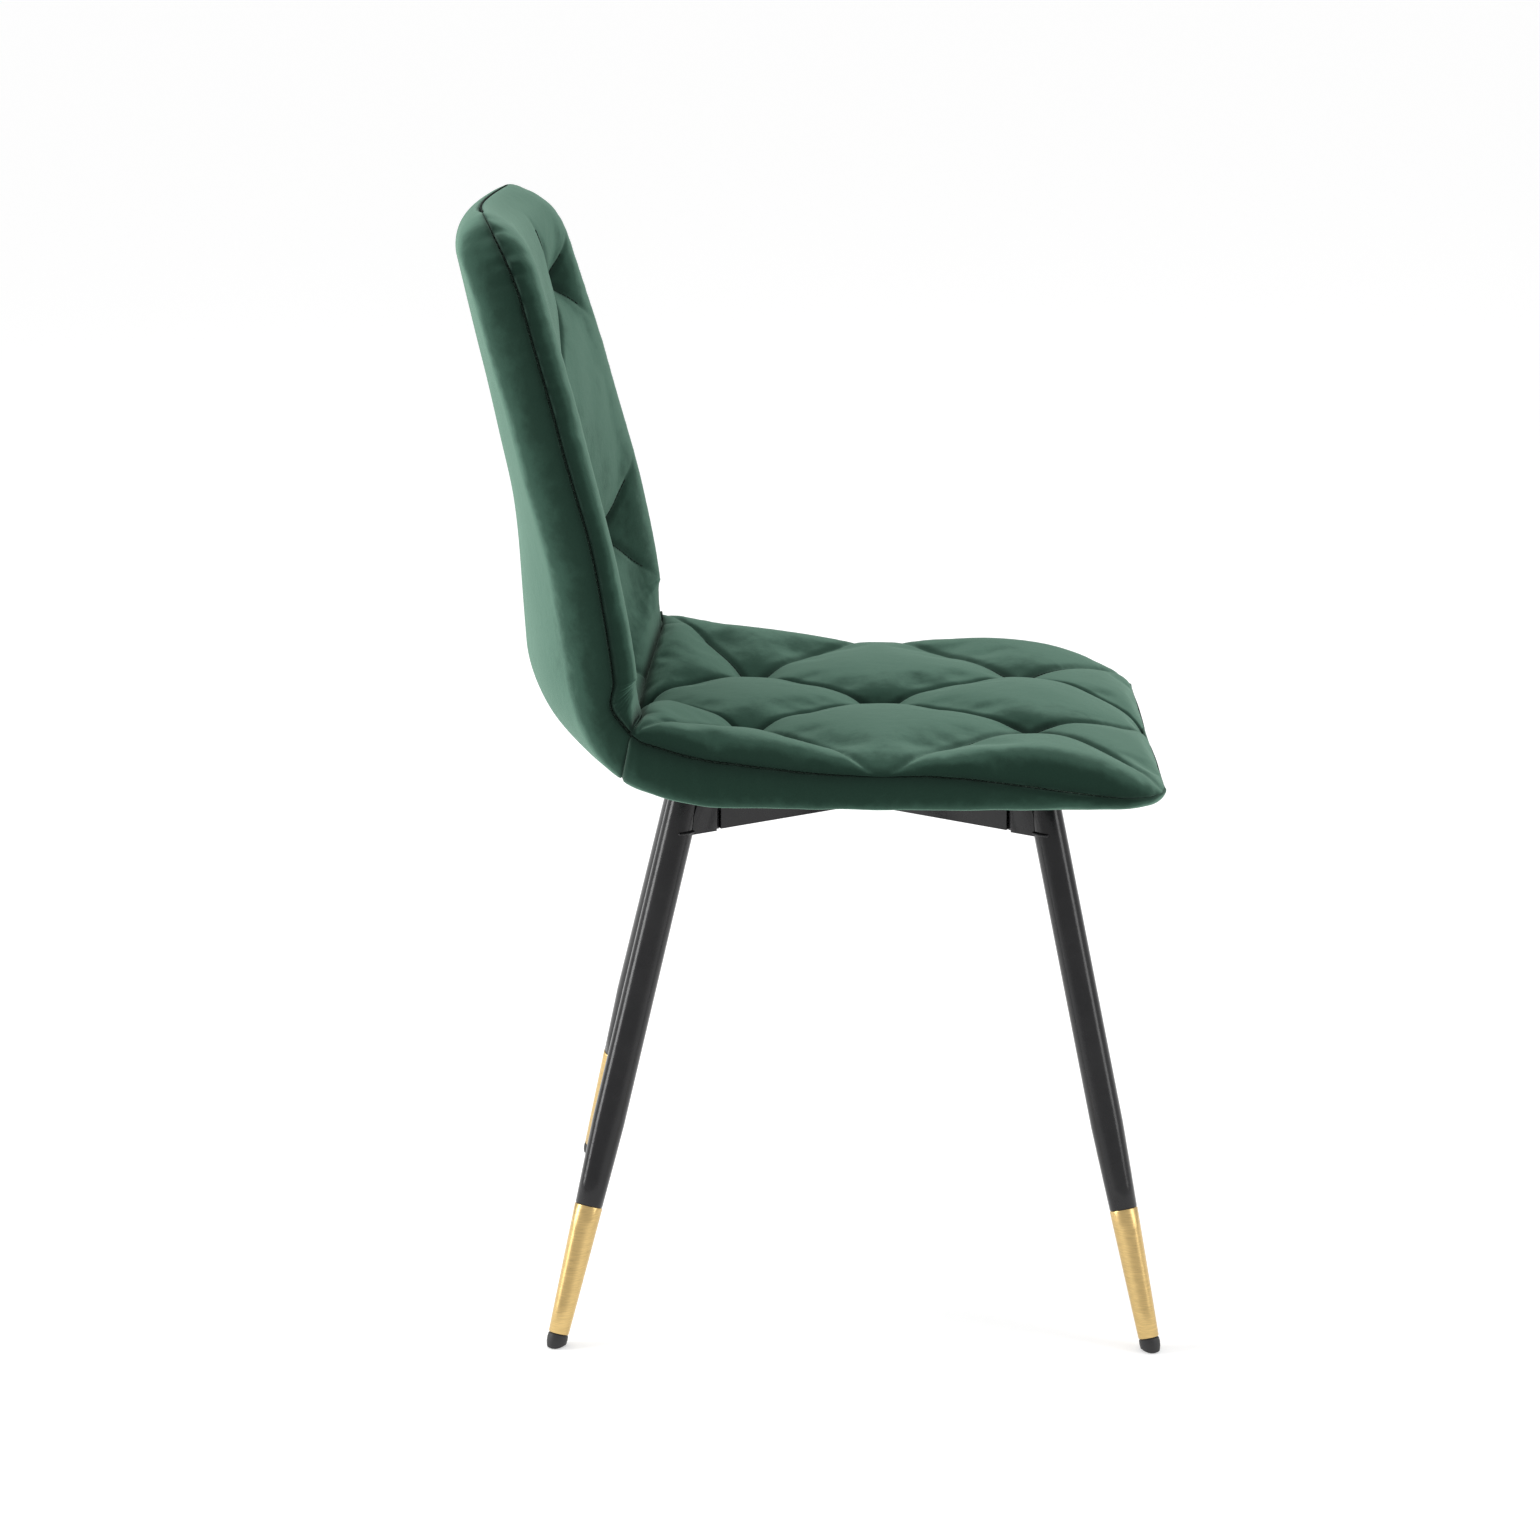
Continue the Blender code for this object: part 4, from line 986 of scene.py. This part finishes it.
def powder_nodes():
    tree = powder.node_tree
    link = tree.links.new
    place = add_node(tree, "ShaderNodeTexCoord").outputs["Object"]
    peel = add_node(tree, "ShaderNodeTexNoise", {"Scale": 420.0, "Detail": 2.0})
    rubbed = add_node(tree, "ShaderNodeTexNoise", {"Scale": 22.0, "Detail": 5.0, "Roughness": 0.7})
    for noise in (peel, rubbed):
        link(place, noise.inputs["Vector"])
    tone = add_node(tree, "ShaderNodeValToRGB")
    graded(tone, 0.35, (0.006, 0.006, 0.007), 0.75, (0.015, 0.015, 0.016))
    link(rubbed.outputs["Fac"], tone.inputs["Fac"])
    link(tone.outputs["Color"], tree.nodes["Principled BSDF"].inputs["Base Color"])
    gloss = add_node(tree, "ShaderNodeMapRange", {"To Min": 0.16, "To Max": 0.26})
    link(rubbed.outputs["Fac"], gloss.inputs["Value"])
    link(gloss.outputs["Result"], tree.nodes["Principled BSDF"].inputs["Roughness"])
    raised(tree, peel.outputs["Fac"], 0.18, 0.0003)


powder_nodes()


def softened(node, width):
    """A copy of a node with its edges rounded, in its place."""
    data = bmesh.new()
    data.from_mesh(nodes[node].data)
    bmesh.ops.remove_doubles(data, verts=data.verts, dist=0.00002)
    bmesh.ops.dissolve_limit(data, angle_limit=math.radians(1), verts=data.verts, edges=data.edges)
    paired = [edge for edge in data.edges if len(edge.link_faces) == 2]
    sharp = [edge for edge in paired if edge.calc_face_angle(0) > math.radians(25)]
    bmesh.ops.bevel(data, geom=sharp, offset=width, segments=2, profile=0.5, affect="EDGES",
                    clamp_overlap=True)
    mesh = bpy.data.meshes.new(node + "_finished")
    data.to_mesh(mesh)
    data.free()
    add_piece(node + "_finished", mesh, powder, (node,))
    mesh.set_sharp_from_angle(angle=math.radians(50))


for bar in ("cross_bar", "front_half_bar", "rear_half_bar"):
    softened(bar, 0.0007)
for corner in corners:
    softened(f"leg_saddle_{corner}", 0.0008)
    softened(f"mounting_plate_{corner}", 0.0006)


# Legs: splayed steel tubes that narrow towards the floor, powder coated black, each in a
# brass-coloured sleeve over its last length and on a black plastic glide.

LEG_RADIUS = 0.0125
FOOT_RADIUS = 0.0073
TAPER = 0.165
SLEEVE = (0.0095, 0.104)
LEG_SIDES = 64
BAR_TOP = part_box("cross_bar")[1][2]
FRAME_MIDDLE = 0.0434
FOOT_X = {"rear": -0.1922, "front": 0.2652}
TOP_X = {"rear": -0.0911, "front": 0.1779}
FOOT_Y = 0.2128
TOP_Y = 0.0867
WELD_HEIGHT = 0.3795
WELD_RADIUS = 0.0133
brass = metal("Brushed_gold", (0.66, 0.47, 0.20), 0.30, 40.0, (3, 3, 60), Anisotropic=0.4)
plastic = principled("Glide_plastic", (0.014, 0.014, 0.015), 0.5)
plastic_grain = placed(plastic.node_tree, add_node(plastic.node_tree, "ShaderNodeTexNoise",
                                                   {"Scale": 900.0, "Detail": 2.0}))
raised(plastic.node_tree, plastic_grain.outputs["Fac"], 0.3, 0.0002)


def leg_radius(height):
    return FOOT_RADIUS + (LEG_RADIUS - FOOT_RADIUS) * min(height / TAPER, 1)


def turned(name, foot, top, profile, hollow=False):
    """A solid turned round the leg's axis from (height, radius) pairs, bottom to top."""
    axis = top - foot
    along = axis.normalized()
    one = along.cross(Vector((0, 1, 0))).normalized()
    two = along.cross(one)
    data = bmesh.new()
    rings = []
    for height, radius in profile:
        centre = foot + axis * (height / top.z)
        ring = []
        for k in range(LEG_SIDES):
            angle = 2 * math.pi * k / LEG_SIDES
            spot = centre + radius * (math.cos(angle) * one + math.sin(angle) * two)
            if height >= top.z or height < 0.0015:
                spot = spot + axis * ((height - spot.z) / top.z)
            ring.append(data.verts.new(spot))
        rings.append(ring)
    for low, high in list(zip(rings, rings[1:])) + ([(rings[-1], rings[0])] if hollow else []):
        for k in range(LEG_SIDES):
            after = (k + 1) % LEG_SIDES
            data.faces.new((low[k], low[after], high[after], high[k]))
    if not hollow:
        data.faces.new(rings[0][::-1])
        data.faces.new(rings[-1])
    bmesh.ops.recalc_face_normals(data, faces=data.faces)
    mesh = bpy.data.meshes.new(name)
    data.to_mesh(mesh)
    data.free()
    return mesh


def leg_profiles():
    """Each turned piece's name, profile, material, slot and whether it is open along its axis."""
    wall = 0.0009
    low, high = SLEEVE
    inside = leg_radius(high) - wall
    leg = [(low, leg_radius(low) - wall), (high - 0.002, inside), (high - 0.001, inside)]
    leg += [(high + 0.0002, leg_radius(high) - 0.0004), (high + 0.0007, leg_radius(high))]
    leg += [(h, leg_radius(h)) for h in (0.12, 0.14, 0.155, TAPER, 0.18, 0.25, 0.34, BAR_TOP)]
    sleeve = [(low + 0.0006, leg_radius(low) - 0.0001), (low + 0.0012, leg_radius(low) + 0.0003)]
    sleeve += [(h, leg_radius(h) + 0.0003) for h in (0.03, 0.06, 0.09, high - 0.0008)]
    sleeve += [(high - 0.0002, leg_radius(high) - 0.0001), (high - 0.0002, inside + 0.0001)]
    sleeve += [(low + 0.0006, leg_radius(low) - wall + 0.0001)]
    glide = [(0, 0.0046), (0.0012, 0.0066), (0.0030, 0.0077), (0.0065, 0.0080), (0.0090, 0.0078)]
    glide += [(0.0097, 0.0070)]
    glide += [(0.0097, leg_radius(low) - 0.0011), (0.026, leg_radius(low) - 0.0011)]
    return (("leg", leg, powder, "black_steel", False), ("sleeve", sleeve, brass, "brass", True),
            ("glide", glide, plastic, "glide_plastic", False))


weld_paths = []
for corner in corners:
    end, hand = corner.split("_")
    across = -1 if hand == "right" else 1
    foot = Vector((FOOT_X[end], across * FOOT_Y, 0))
    top = Vector((TOP_X[end], across * TOP_Y, BAR_TOP))
    for part, profile, finish, slot, hollow in leg_profiles():
        mesh = turned(f"{part}_{corner}_turned", foot, top, profile, hollow)
        add_piece(mesh.name, mesh, finish, (f"{part}_{corner}",))
        mesh.set_sharp_from_angle(angle=math.radians(40))
    leg_axis = (top - foot).normalized()
    inward = Vector((FRAME_MIDDLE - top.x, -top.y, 0)).normalized()
    sideways = leg_axis.cross(inward).normalized()
    centre = foot + (top - foot) * (WELD_HEIGHT / top.z)
    weld_paths.append([centre + WELD_RADIUS * (math.cos(a) * inward + math.sin(a) * sideways)
                       for a in np.linspace(-1.9, 1.9, 24)])

# Weld beads: short fillets where each leg leaves its saddle and where the half bars meet
# the cross bar, under the same powder coat.

for x, y in ((0.0185, 0), (-0.0185, 0), (0, 0.0119), (0, -0.0119)):
    weld_paths.append([Vector((FRAME_MIDDLE + x, y, z)) for z in np.linspace(0.3800, 0.4210, 12)])
repeated("weld_beads", repeat_tree("Weld_beads", powder, "bead"), weld_paths, 0.0017, 0.0, 0.0015)
